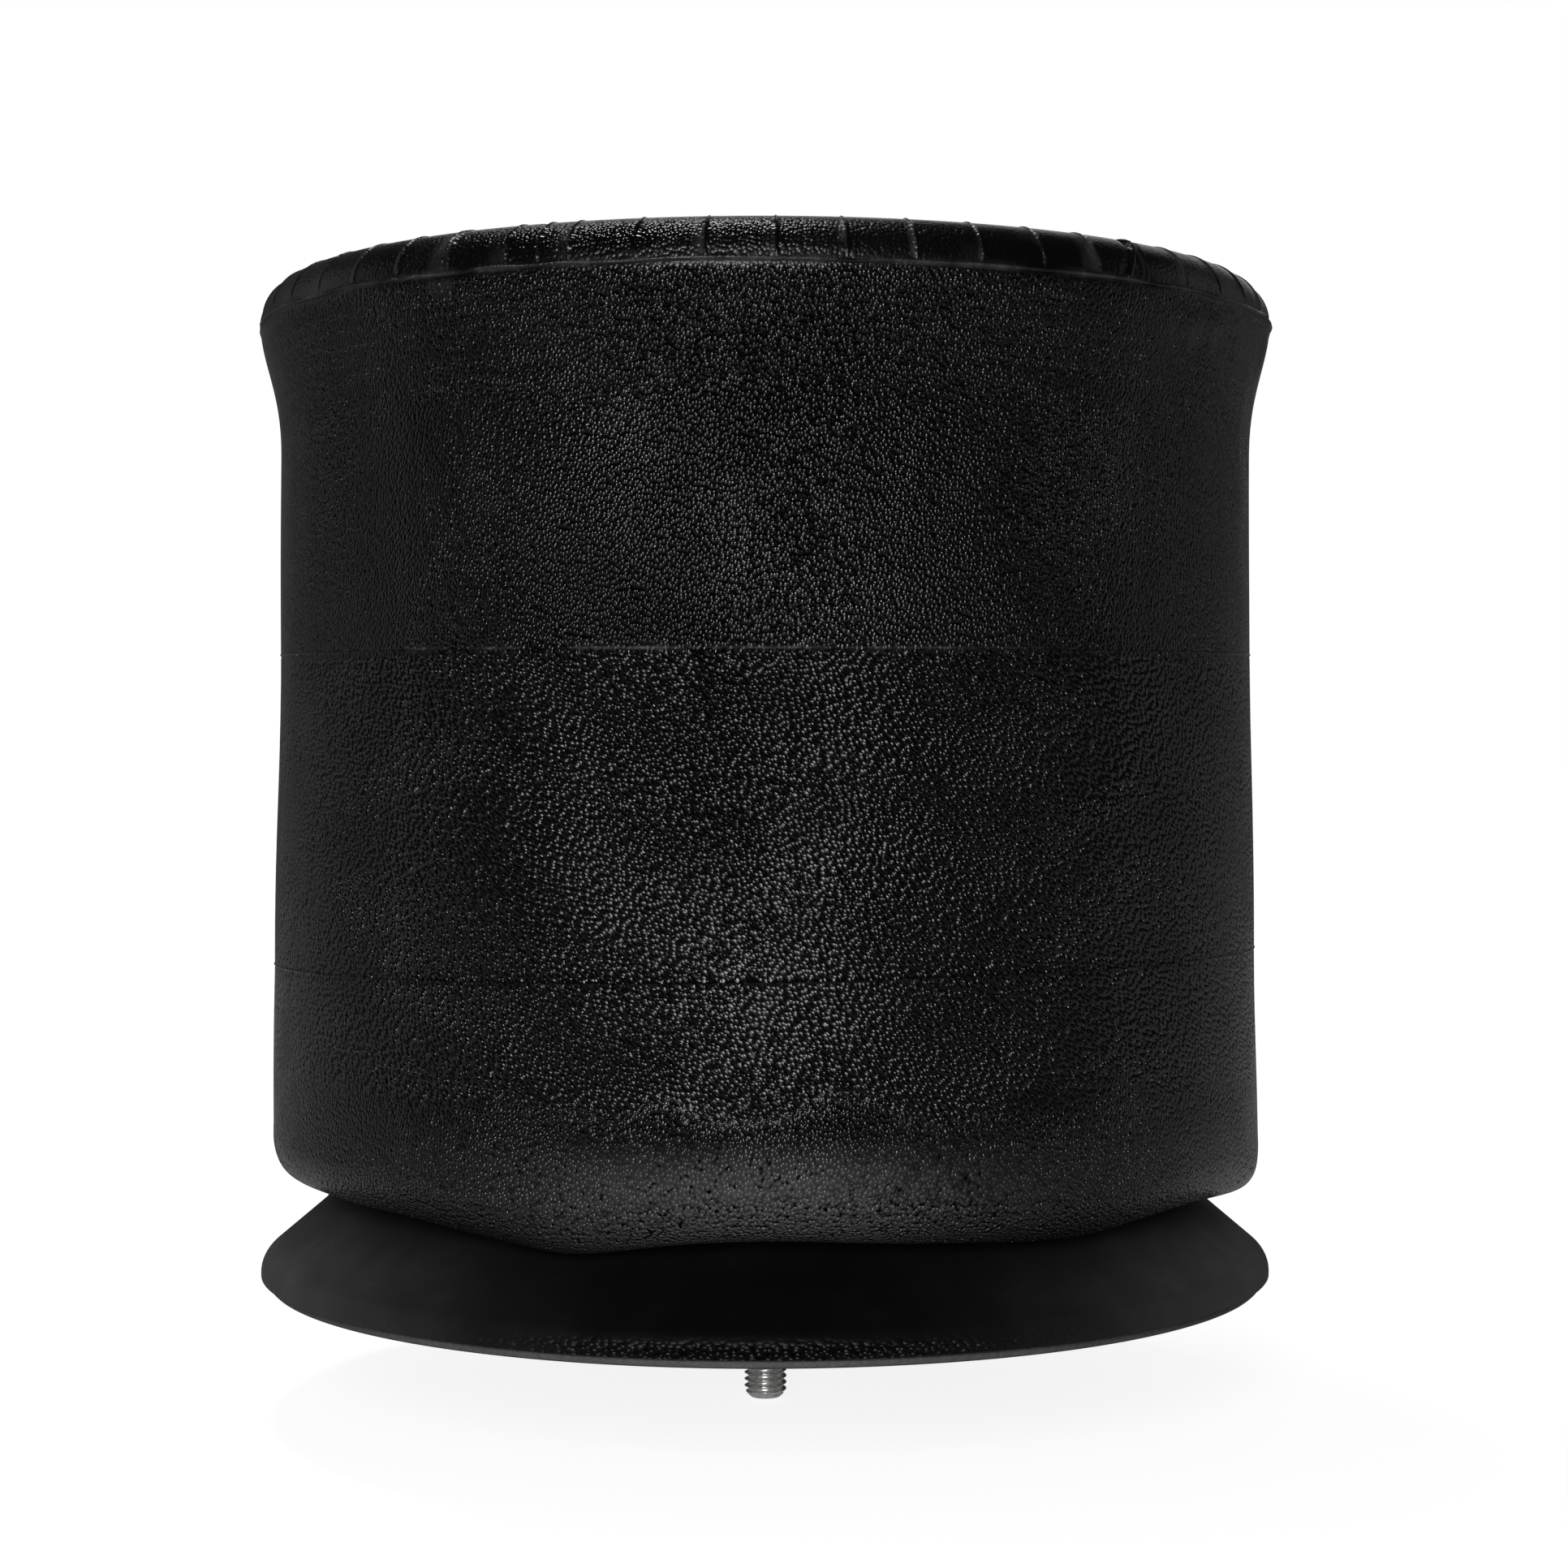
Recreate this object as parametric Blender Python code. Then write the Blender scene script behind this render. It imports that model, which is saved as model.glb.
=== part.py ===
"""A rolling-lobe air suspension spring, pressed down to its lowest height.

Metres, +Z up. The origin is the middle of the piston's seating plane: the base
plate stands on z = 0, the piston bolt reaches below it, and the rubber bellows
hangs from the bead plate and rolls over the piston. Turned shapes are outlines of
(radius, height) points. A path's left side is the left of someone walking along it.
"""

import math

import bmesh
import bpy

# Facets and clearances
SIDES = 36
SMALL_SIDES = 20
MERGE_DISTANCE = 1e-6
FIT_GAP = 0.0003
ROLLING_GAP = 0.0004
BOLT_CLEARANCE = 0.0006
CUT_MARGIN = 0.002

# Overall height, over the plates, with the bump stop just touched
HEIGHT = 0.296

# Piston shell, from its rim up
RIM_RADIUS = 0.1504
RIM_ROUND = 0.008
RIM_LIP = 0.0009
RIM_ANGLE = 40
RIM_SLANT = 0.0192
SKIRT_ANGLE = 48
SKIRT_SLANT = 0.0171
SKIRT_ROUND = 0.060
NECK_TOP_RADIUS = 0.103
DECK_ROUND = 0.012
SHELL_WALL = 0.003

# Piston base plate
RIM_OVERHANG = 0.0022
BASE_WALL = 0.0025
DISH_RADIUS = 0.0195
DISH_DEPTH = 0.011
CHANNEL_RADIUS = 0.0945
CHANNEL_WIDTH = 0.027
CHANNEL_RISE = 0.007
PRESSED_RAMP = 0.006
DRAIN_HOLES = 4
DRAIN_HOLE_RADIUS = 0.0045

# Piston bolt, its nut and what it clamps
BOLT_RADIUS = 0.00635
BOLT_REACH = 0.0381
BOLT_CHAMFER = 0.0012
HEX_ACROSS_FLATS = 0.01905
HEAD_HEIGHT = 0.008
NUT_HEIGHT = 0.0079
NUT_WASHER_RADIUS = 0.0135
NUT_WASHER_THICKNESS = 0.002
HUB_SLEEVE_WALL = 0.005
DECK_WASHER_RADIUS = 0.028
DECK_WASHER_THICKNESS = 0.003
HEAD_WASHER_RADIUS = 0.014
HEAD_WASHER_THICKNESS = 0.0023

# Bead plate and what is welded or screwed into it
PLATE_WALL = 0.003
PLATE_RADIUS = 0.1255
PLATE_ROUND = 0.0045
LIP_DEPTH = 0.0173
NUT_SPACING = 0.15748
BLIND_NUT_RADIUS = 0.012
BLIND_NUT_SHANK = 0.0087
BLIND_NUT_DEPTH = 0.0115
BLIND_NUT_BORE = 0.0048
BLIND_NUT_FLOOR = 0.0025
PORT_OFFSET = 0.0445
PORT_BOSS_RADIUS = 0.013
PORT_BOSS_SHANK = 0.0097
PORT_BOSS_DEPTH = 0.012
PORT_BORE = 0.0069
SINK = 0.0002
PLUG_SEAL_THICKNESS = 0.001
PLUG_HEAD_RADIUS = 0.0095
PLUG_HEAD_HEIGHT = 0.003
PLUG_REACH = 0.011
PLUG_SOCKET_ACROSS_FLATS = 0.0064
PLUG_SOCKET_DEPTH = 0.004

# Rubber bellows
BELLOWS_WALL = 0.006
CROWN_ROUND = 0.0127
CROWN_DROP = 0.0013
FLARE_HEIGHT = 0.042
FLARE_POWER = 1.5
SLEEVE_RADIUS = 0.1446
UPPER_SEAM_HEIGHT = 0.1865
LOWER_SEAM_HEIGHT = 0.0986
LOWER_SEAM_SWELL = 0.0016
LOBE_BOTTOM = 0.0285
LOBE_ROUND = 0.015
LOBE_INNER_ROUND = 0.010

# Beads, their wires and the end closure
BEAD_WIDTH = 0.0122
BEAD_HEIGHT = 0.0112
LOWER_BEAD_RADIUS = 0.076
LOWER_BEAD_WIDTH = 0.011
LOWER_BEAD_HEIGHT = 0.0091
BEAD_RAMP = 0.003
WIRE_WIDTH = 0.0044
WIRE_HEIGHT = 0.0041
WIRE_COVER = 0.0033
CLOSURE_WALL = 0.004
CLOSURE_LIP = 0.013
SEAL_WIDTH = 0.0035
SEAL_THICKNESS = 0.002

# Bump stop
STOP_HEIGHT = 0.0731
INSERT_RADIUS = 0.040
INSERT_THICKNESS = 0.003
STOP_BASE_RADIUS = 0.046
STOP_FLANGE = 0.007
STOP_WAIST_RADIUS = 0.033
STOP_FILLET = 0.010
STOP_TOP_RADIUS = 0.030
STOP_TOP_ROUND = 0.008
STOP_WELL_RADIUS = 0.0165

# Heights and radii that follow from the sizes above
BOLT_HOLE = BOLT_RADIUS + BOLT_CLEARANCE
BASE_RADIUS = RIM_RADIUS - RIM_OVERHANG
LOWER_SEAM_RADIUS = SLEEVE_RADIUS + LOWER_SEAM_SWELL
PLATE_UNDERSIDE = HEIGHT - PLATE_WALL
BEAD_TOP = PLATE_UNDERSIDE - FIT_GAP
LIP_END = HEIGHT - LIP_DEPTH
DECK_HEIGHT = BEAD_TOP - STOP_HEIGHT - CLOSURE_WALL - 2 * FIT_GAP
DECK_UNDERSIDE = DECK_HEIGHT - SHELL_WALL
CLOSURE_BASE = DECK_HEIGHT + FIT_GAP
CLOSURE_TOP = CLOSURE_BASE + CLOSURE_WALL
INSERT_BASE = CLOSURE_TOP + FIT_GAP
INSERT_TOP = INSERT_BASE + INSERT_THICKNESS
HEAD_WASHER_BASE = INSERT_TOP + FIT_GAP
HEAD_BASE = HEAD_WASHER_BASE + HEAD_WASHER_THICKNESS + FIT_GAP
DECK_WASHER_BASE = DECK_UNDERSIDE - FIT_GAP - DECK_WASHER_THICKNESS
NUT_WASHER_BASE = DISH_DEPTH - FIT_GAP - NUT_WASHER_THICKNESS
LOWER_BEAD_BASE = DECK_HEIGHT + ROLLING_GAP
SLOT_WIDTH = WIRE_WIDTH + 2 * FIT_GAP
SLOT_DEPTH = WIRE_HEIGHT + 2 * FIT_GAP

# Steps of the arcs that the piston and the bellows share, so that they stay parallel
SKIRT_STEPS = 4
DECK_STEPS = 3


# Outlines

def arc(centre, radius, start, end, steps):
    """Points round centre, from the angle start to the angle end, in degrees."""
    turn = math.radians(end - start) / steps
    angles = [math.radians(start) + turn * step for step in range(steps + 1)]
    return [
        (centre[0] + radius * math.cos(angle), centre[1] + radius * math.sin(angle))
        for angle in angles
    ]


def along(point, angle, length):
    """The point that lies length away from another, in a direction in degrees."""
    turn = math.radians(angle)
    return (point[0] + length * math.cos(turn), point[1] + length * math.sin(turn))


def left_of(start, end):
    """The unit vector that points to the left of the way from start to end."""
    run = (end[0] - start[0], end[1] - start[1])
    length = math.hypot(*run)
    return (-run[1] / length, run[0] / length)


def offset(path, distance):
    """The path moved to its left by distance, with its corners mitred."""
    sides = [left_of(start, end) for start, end in zip(path, path[1:])]
    moved = []
    for point, before, after in zip(path, sides[:1] + sides, sides + sides[-1:]):
        middle = (before[0] + after[0], before[1] + after[1])
        reach = distance * 2 / (middle[0] ** 2 + middle[1] ** 2)
        moved.append((point[0] + middle[0] * reach, point[1] + middle[1] * reach))
    return moved


def sheet(path, thickness):
    """The closed outline of a sheet whose right side is the path."""
    return path + offset(path, thickness)[::-1]


# Solids

def add_object(name, form, finish, body):
    """Make the bmesh a shaded object with a finish, under the empty of its body."""
    bmesh.ops.recalc_face_normals(form, faces=form.faces)
    mesh = bpy.data.meshes.new(name)
    form.to_mesh(mesh)
    form.free()
    mesh.shade_smooth()
    mesh.set_sharp_from_angle(angle=math.radians(35))
    piece = bpy.data.objects.new(name, mesh)
    bpy.context.collection.objects.link(piece)
    if finish:
        mesh.materials.append(finish)
    if body:
        piece.parent = body
    return piece


def turned(name, outline, finish=None, body=None, sides=SIDES):
    """Spin an outline once round the axis. One that starts on the axis also ends on it."""
    form = bmesh.new()
    points = [form.verts.new((radius, 0, height)) for radius, height in outline]
    on_axis = outline[0][0] == 0
    ends = points[1:] if on_axis else points[1:] + points[:1]
    edges = [form.edges.new(pair) for pair in zip(points, ends)]
    bmesh.ops.spin(
        form,
        geom=points + edges,
        cent=(0, 0, 0),
        axis=(0, 0, 1),
        angle=math.tau,
        steps=sides,
    )
    bmesh.ops.remove_doubles(form, verts=form.verts, dist=MERGE_DISTANCE)
    return add_object(name, form, finish, body)


def ring(name, bore, radius, height, finish, body, sides=SIDES):
    """A flat ring or tube that stands on the height 0."""
    outline = [(bore, 0), (radius, 0), (radius, height), (bore, height)]
    return turned(name, outline, finish, body, sides)


def hexagon(name, across_flats, height, finish=None, body=None):
    """A hexagonal prism that stands on the height 0."""
    form = bmesh.new()
    radius = across_flats / 2 / math.cos(math.radians(30))
    bmesh.ops.create_cone(
        form, cap_ends=True, segments=6, radius1=radius, radius2=radius, depth=height
    )
    bmesh.ops.translate(form, verts=form.verts, vec=(0, 0, height / 2))
    return add_object(name, form, finish, body)


def round_cutter(name, radius, base, top, across=(0, 0)):
    """A plain cylinder that cuts a hole."""
    outline = [(0, base), (radius, base), (radius, top), (0, top)]
    cutter = turned(name, outline, sides=SMALL_SIDES)
    cutter.location = (across[0], across[1], 0)
    return cutter


def combine(piece, other, operation):
    """Cut piece with other, or join other to it, and hide other."""
    other.hide_render = True
    other.display_type = "WIRE"
    modifier = piece.modifiers.new(other.name, "BOOLEAN")
    modifier.operation = operation
    modifier.object = other


def material(name, colour, roughness, metallic=0.0):
    """A plain Principled material."""
    finish = bpy.data.materials.new(name)
    finish.use_nodes = True
    shader = finish.node_tree.nodes["Principled BSDF"]
    shader.inputs["Base Color"].default_value = (*colour, 1)
    shader.inputs["Roughness"].default_value = roughness
    shader.inputs["Metallic"].default_value = metallic
    return finish


# Piston

def rim():
    """The rolled rim from its foot, and the cone above it up to the crease of the skirt."""
    foot = BASE_WALL + FIT_GAP
    centre = (RIM_RADIUS - RIM_ROUND, foot + RIM_LIP)
    rolled = arc(centre, RIM_ROUND, 0, 90 - RIM_ANGLE, 3)
    crease = along(rolled[-1], 180 - RIM_ANGLE, RIM_SLANT)
    return [(RIM_RADIUS, foot)] + rolled + [crease]


def skirt_sweep():
    """The concave arc that carries the skirt's cone, which rises from the crease, into the neck."""
    start = along(rim()[-1], 180 - SKIRT_ANGLE, SKIRT_SLANT)
    centre = along(start, 90 - SKIRT_ANGLE, SKIRT_ROUND)
    return arc(centre, SKIRT_ROUND, 270 - SKIRT_ANGLE, 180, SKIRT_STEPS)


def deck_shoulder():
    """The round between the neck and the deck."""
    centre = (NECK_TOP_RADIUS - DECK_ROUND, DECK_HEIGHT - DECK_ROUND)
    return arc(centre, DECK_ROUND, 0, 90, DECK_STEPS)


def piston_shell(finish, body):
    """The pressed piston: rolled rim, two cones, swept neck and flat deck."""
    outer = rim() + skirt_sweep() + deck_shoulder() + [(BOLT_HOLE, DECK_HEIGHT)]
    return turned("piston_shell", sheet(outer, SHELL_WALL), finish, body)


def piston_base_plate(finish, body):
    """The pressed floor of the piston, dished round the nut and stiffened by a channel."""
    channel_start = CHANNEL_RADIUS - CHANNEL_WIDTH / 2
    channel_end = CHANNEL_RADIUS + CHANNEL_WIDTH / 2
    underside = [
        (BOLT_HOLE, DISH_DEPTH),
        (DISH_RADIUS, DISH_DEPTH),
        (DISH_RADIUS + PRESSED_RAMP, 0),
        (channel_start - PRESSED_RAMP, 0),
        (channel_start, CHANNEL_RISE),
        (channel_end, CHANNEL_RISE),
        (channel_end + PRESSED_RAMP, 0),
        (BASE_RADIUS, 0),
    ]
    plate = turned("piston_base_plate", sheet(underside, BASE_WALL), finish, body)
    for hole in range(DRAIN_HOLES):
        angle = math.tau * (hole + 0.5) / DRAIN_HOLES
        across = (CHANNEL_RADIUS * math.cos(angle), CHANNEL_RADIUS * math.sin(angle))
        top = CHANNEL_RISE + BASE_WALL + CUT_MARGIN
        name = f"drain_hole_{hole + 1}"
        cutter = round_cutter(name, DRAIN_HOLE_RADIUS, CHANNEL_RISE - CUT_MARGIN, top, across)
        combine(plate, cutter, "DIFFERENCE")
    return plate


def piston_bolt(finish, body):
    """The long hexagon bolt that holds closure, piston and base together."""
    shank = [
        (0, -BOLT_REACH),
        (BOLT_RADIUS - BOLT_CHAMFER, -BOLT_REACH),
        (BOLT_RADIUS, BOLT_CHAMFER - BOLT_REACH),
        (BOLT_RADIUS, HEAD_BASE + HEAD_HEIGHT / 2),
        (0, HEAD_BASE + HEAD_HEIGHT / 2),
    ]
    bolt = turned("piston_bolt", shank, finish, body, SMALL_SIDES)
    head = hexagon("bolt_head", HEX_ACROSS_FLATS, HEAD_HEIGHT)
    head.location.z = HEAD_BASE
    combine(bolt, head, "UNION")
    return bolt


def piston_nut(finish, body):
    """The nut in the dish of the base plate."""
    nut = hexagon("piston_nut", HEX_ACROSS_FLATS, NUT_HEIGHT, finish, body)
    nut.location.z = NUT_WASHER_BASE - FIT_GAP - NUT_HEIGHT
    bore = round_cutter(
        "nut_bore",
        BOLT_RADIUS + FIT_GAP,
        nut.location.z - CUT_MARGIN,
        nut.location.z + NUT_HEIGHT + CUT_MARGIN,
    )
    combine(nut, bore, "DIFFERENCE")
    return nut


def washer(name, radius, thickness, base, finish, body):
    """A flat washer on the piston bolt."""
    disc = ring(name, BOLT_HOLE, radius, thickness, finish, body, SMALL_SIDES)
    disc.location.z = base
    return disc


def hub_sleeve(finish, body):
    """The tube that keeps the base plate and the deck apart when the bolt is tight."""
    base = DISH_DEPTH + BASE_WALL + FIT_GAP
    length = DECK_WASHER_BASE - FIT_GAP - base
    outer = BOLT_HOLE + HUB_SLEEVE_WALL
    sleeve = ring("hub_sleeve", BOLT_HOLE, outer, length, finish, body, SMALL_SIDES)
    sleeve.location.z = base
    return sleeve


def end_closure(finish, body):
    """The stepped disc that clamps the lower bead to the deck, grooved for its seal."""
    hub_radius = LOWER_BEAD_RADIUS - FIT_GAP
    lip_base = LOWER_BEAD_BASE + LOWER_BEAD_HEIGHT + FIT_GAP
    groove_bore = BOLT_HOLE + SEAL_WIDTH
    groove_radius = groove_bore + SEAL_WIDTH + 2 * FIT_GAP
    groove_top = CLOSURE_BASE + SEAL_THICKNESS + FIT_GAP
    outline = [
        (BOLT_HOLE, CLOSURE_BASE),
        (groove_bore, CLOSURE_BASE),
        (groove_bore, groove_top),
        (groove_radius, groove_top),
        (groove_radius, CLOSURE_BASE),
        (hub_radius, CLOSURE_BASE),
        (hub_radius, lip_base),
        (LOWER_BEAD_RADIUS + CLOSURE_LIP, lip_base),
        (LOWER_BEAD_RADIUS + CLOSURE_LIP, lip_base + SHELL_WALL),
        (hub_radius - CLOSURE_WALL, lip_base + SHELL_WALL),
        (hub_radius - CLOSURE_WALL - PRESSED_RAMP, CLOSURE_TOP),
        (BOLT_HOLE, CLOSURE_TOP),
    ]
    return turned("end_closure", outline, finish, body)


def closure_seal(finish, body):
    """The rubber ring in the closure's groove."""
    bore = BOLT_HOLE + SEAL_WIDTH + FIT_GAP
    radius = bore + SEAL_WIDTH
    seal = ring("closure_seal", bore, radius, SEAL_THICKNESS, finish, body, SMALL_SIDES)
    seal.location.z = CLOSURE_BASE
    return seal


# Bump stop

def bump_stop(finish, body):
    """The waisted rubber buffer, hollow over the bolt's head and over its steel insert."""
    top = BEAD_TOP
    flange_top = INSERT_BASE + STOP_FLANGE
    fillet_centre = (STOP_WAIST_RADIUS + STOP_FILLET, flange_top + STOP_FILLET)
    round_centre = (STOP_TOP_RADIUS - STOP_TOP_ROUND, top - STOP_TOP_ROUND)
    recess_radius = INSERT_RADIUS + FIT_GAP
    recess_top = INSERT_TOP + FIT_GAP
    outline = [(recess_radius, INSERT_BASE), (STOP_BASE_RADIUS, INSERT_BASE)]
    outline += [(STOP_BASE_RADIUS, flange_top)]
    outline += arc(fillet_centre, STOP_FILLET, 270, 180, 3)
    outline += arc(round_centre, STOP_TOP_ROUND, 0, 90, 3)
    outline += [(STOP_WELL_RADIUS, top), (STOP_WELL_RADIUS, recess_top)]
    outline += [(recess_radius, recess_top)]
    return turned("bump_stop", outline, finish, body, SMALL_SIDES)


def bump_stop_insert(finish, body):
    """The steel disc moulded into the foot of the bump stop."""
    disc = ring(
        "bump_stop_insert",
        BOLT_HOLE,
        INSERT_RADIUS,
        INSERT_THICKNESS,
        finish,
        body,
        SMALL_SIDES,
    )
    disc.location.z = INSERT_BASE
    return disc


# Bead plate

def bead_plate(finish, body):
    """The top plate, its rim rolled down outside the upper bead."""
    round_centre = (PLATE_RADIUS - PLATE_ROUND, HEIGHT - PLATE_ROUND)
    outer = [(PLATE_RADIUS, LIP_END)] + arc(round_centre, PLATE_ROUND, 0, 90, 3)
    outer.append((0, HEIGHT))
    plate = turned("bead_plate", sheet(outer, PLATE_WALL), finish, body)
    holes = {
        "nut_hole_left": (BLIND_NUT_SHANK, (-NUT_SPACING / 2, 0)),
        "nut_hole_right": (BLIND_NUT_SHANK, (NUT_SPACING / 2, 0)),
        "port_hole": (PORT_BOSS_SHANK, (0, PORT_OFFSET)),
    }
    for name, (shank, across) in holes.items():
        base = PLATE_UNDERSIDE - CUT_MARGIN
        cutter = round_cutter(name, shank + FIT_GAP, base, HEIGHT + CUT_MARGIN, across)
        combine(plate, cutter, "DIFFERENCE")
    return plate


def blind_nut(name, across, finish, body):
    """A closed nut that stands in a hole of the plate, its body welded underneath."""
    floor = -FIT_GAP - BLIND_NUT_DEPTH
    mouth = PLATE_WALL - SINK
    outline = [
        (0, floor),
        (BLIND_NUT_RADIUS, floor),
        (BLIND_NUT_RADIUS, -FIT_GAP),
        (BLIND_NUT_SHANK, -FIT_GAP),
        (BLIND_NUT_SHANK, mouth),
        (BLIND_NUT_BORE, mouth),
        (BLIND_NUT_BORE, floor + BLIND_NUT_FLOOR),
        (0, floor + BLIND_NUT_FLOOR),
    ]
    nut = turned(name, outline, finish, body, SMALL_SIDES)
    nut.location = (across, 0, PLATE_UNDERSIDE)
    return nut


def air_port_boss(finish, body):
    """The welded boss that takes the air fitting."""
    outline = [
        (PORT_BORE, -FIT_GAP - PORT_BOSS_DEPTH),
        (PORT_BOSS_RADIUS, -FIT_GAP - PORT_BOSS_DEPTH),
        (PORT_BOSS_RADIUS, -FIT_GAP),
        (PORT_BOSS_SHANK, -FIT_GAP),
        (PORT_BOSS_SHANK, PLATE_WALL - SINK),
        (PORT_BORE, PLATE_WALL - SINK),
    ]
    boss = turned("air_port_boss", outline, finish, body, SMALL_SIDES)
    boss.location = (0, PORT_OFFSET, PLATE_UNDERSIDE)
    return boss


def port_plug_seal(finish, body):
    """The washer under the plug's head."""
    seal = ring(
        "port_plug_seal",
        PORT_BORE,
        PLUG_HEAD_RADIUS,
        PLUG_SEAL_THICKNESS,
        finish,
        body,
        SMALL_SIDES,
    )
    seal.location = (0, PORT_OFFSET, HEIGHT - SINK + FIT_GAP)
    return seal


def port_plug(finish, body):
    """The plug that keeps dirt out of the air port, with a hexagon socket."""
    head_base = PLUG_SEAL_THICKNESS + 2 * FIT_GAP
    head_top = head_base + PLUG_HEAD_HEIGHT
    outline = [
        (0, -PLUG_REACH),
        (PORT_BORE - FIT_GAP, -PLUG_REACH),
        (PORT_BORE - FIT_GAP, head_base),
        (PLUG_HEAD_RADIUS, head_base),
        (PLUG_HEAD_RADIUS, head_top),
        (0, head_top),
    ]
    plug = turned("port_plug", outline, finish, body, SMALL_SIDES)
    plug.location = (0, PORT_OFFSET, HEIGHT - SINK)
    socket = hexagon("plug_socket", PLUG_SOCKET_ACROSS_FLATS, PLUG_SOCKET_DEPTH + CUT_MARGIN)
    socket.location = (0, PORT_OFFSET, HEIGHT - SINK + head_top - PLUG_SOCKET_DEPTH)
    combine(plug, socket, "DIFFERENCE")
    return plug


# Bellows

def upper_bead_face():
    """The radius of the bead's outer face, one gap inside the plate's lip."""
    return PLATE_RADIUS - PLATE_WALL - FIT_GAP


def hanging_end():
    """The bead's outer face, the hook under the lip and the crown, seen from outside."""
    face = upper_bead_face()
    crown_face = PLATE_RADIUS + FIT_GAP
    hook_radius = (crown_face - face) / 2
    hook_centre = (face + hook_radius, LIP_END - FIT_GAP)
    crown_centre = (crown_face + CROWN_ROUND, HEIGHT - CROWN_DROP - CROWN_ROUND)
    corner = PLATE_ROUND - PLATE_WALL
    bead = [(face - corner, BEAD_TOP), (face, BEAD_TOP - corner)]
    hook = arc(hook_centre, hook_radius, 180, 360, 3)
    crown = arc(crown_centre, CROWN_ROUND, 180, 0, 6)
    return bead + hook + crown


def sleeve(shoulder):
    """The flare below the shoulder point and the straight sleeve down to the lobe."""
    radius, height = shoulder
    flare = []
    for share in (0.7, 0.4, 0.0):
        rise = share**FLARE_POWER
        blend = rise * rise * (3 - 2 * rise)
        reach = SLEEVE_RADIUS + (radius - SLEEVE_RADIUS) * blend
        flare.append((reach, height - FLARE_HEIGHT * (1 - share)))
    seams = [(SLEEVE_RADIUS, UPPER_SEAM_HEIGHT), (LOWER_SEAM_RADIUS, LOWER_SEAM_HEIGHT)]
    return flare + seams


def rolling_lobe():
    """The rolled-under fold: a wide outer arc, then a tighter one that lands on the skirt.

    The tight arc's centre lies its own radius and one gap away from the skirt's cone.
    """
    cone_point = skirt_sweep()[0]
    away = (math.sin(math.radians(SKIRT_ANGLE)), math.cos(math.radians(SKIRT_ANGLE)))
    height = LOBE_BOTTOM + LOBE_INNER_ROUND
    reach = LOBE_INNER_ROUND + ROLLING_GAP - (height - cone_point[1]) * away[1]
    radius = cone_point[0] + reach / away[0]
    outer = arc((radius, LOBE_BOTTOM + LOBE_ROUND), LOBE_ROUND, 0, -90, 4)
    inner = arc((radius, height), LOBE_INNER_ROUND, -90, -90 - SKIRT_ANGLE, 2)
    return outer + inner[1:]


def bellows(finish, body):
    """The rubber sleeve, from the bead under the plate to the bead on the deck."""
    hanging = hanging_end()
    deck_end = [(LOWER_BEAD_RADIUS, DECK_HEIGHT)]
    leg = offset(skirt_sweep() + deck_shoulder() + deck_end, -ROLLING_GAP)
    outside = hanging + sleeve(hanging[-1]) + rolling_lobe() + leg
    between_beads = offset(outside, -BELLOWS_WALL)[3:-1]

    slot_end = LOWER_BEAD_RADIUS + WIRE_COVER + SLOT_WIDTH
    slot_start = LOWER_BEAD_RADIUS + WIRE_COVER
    slot_top = LOWER_BEAD_BASE + SLOT_DEPTH
    bead_top = LOWER_BEAD_BASE + LOWER_BEAD_HEIGHT
    bead_end = LOWER_BEAD_RADIUS + LOWER_BEAD_WIDTH
    lower_bead = [
        (slot_end, LOWER_BEAD_BASE),
        (slot_end, slot_top),
        (slot_start, slot_top),
        (slot_start, LOWER_BEAD_BASE),
        (LOWER_BEAD_RADIUS, LOWER_BEAD_BASE),
        (LOWER_BEAD_RADIUS, bead_top),
        (bead_end, bead_top),
        (bead_end + BEAD_RAMP, LOWER_BEAD_BASE + BELLOWS_WALL),
    ]

    face = upper_bead_face()
    bead_base = BEAD_TOP - BEAD_HEIGHT
    slot_floor = BEAD_TOP - SLOT_DEPTH
    upper_bead = [
        (face - BELLOWS_WALL, bead_base - BEAD_RAMP),
        (face - BEAD_WIDTH, bead_base),
        (face - BEAD_WIDTH, BEAD_TOP),
        (face - WIRE_COVER - SLOT_WIDTH, BEAD_TOP),
        (face - WIRE_COVER - SLOT_WIDTH, slot_floor),
        (face - WIRE_COVER, slot_floor),
        (face - WIRE_COVER, BEAD_TOP),
    ]
    outline = outside[:-1] + lower_bead + between_beads[::-1] + upper_bead
    return turned("bellows", outline, finish, body)


def bead_wire(name, radius, base, finish, body):
    """A hoop of steel wire that keeps a bead from stretching."""
    wire = ring(name, radius, radius + WIRE_WIDTH, WIRE_HEIGHT, finish, body)
    wire.location.z = base
    return wire


def body_empty(name):
    """An empty on the spring's axis, which carries the pieces of one body."""
    empty = bpy.data.objects.new(name, None)
    bpy.context.collection.objects.link(empty)
    return empty


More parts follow.
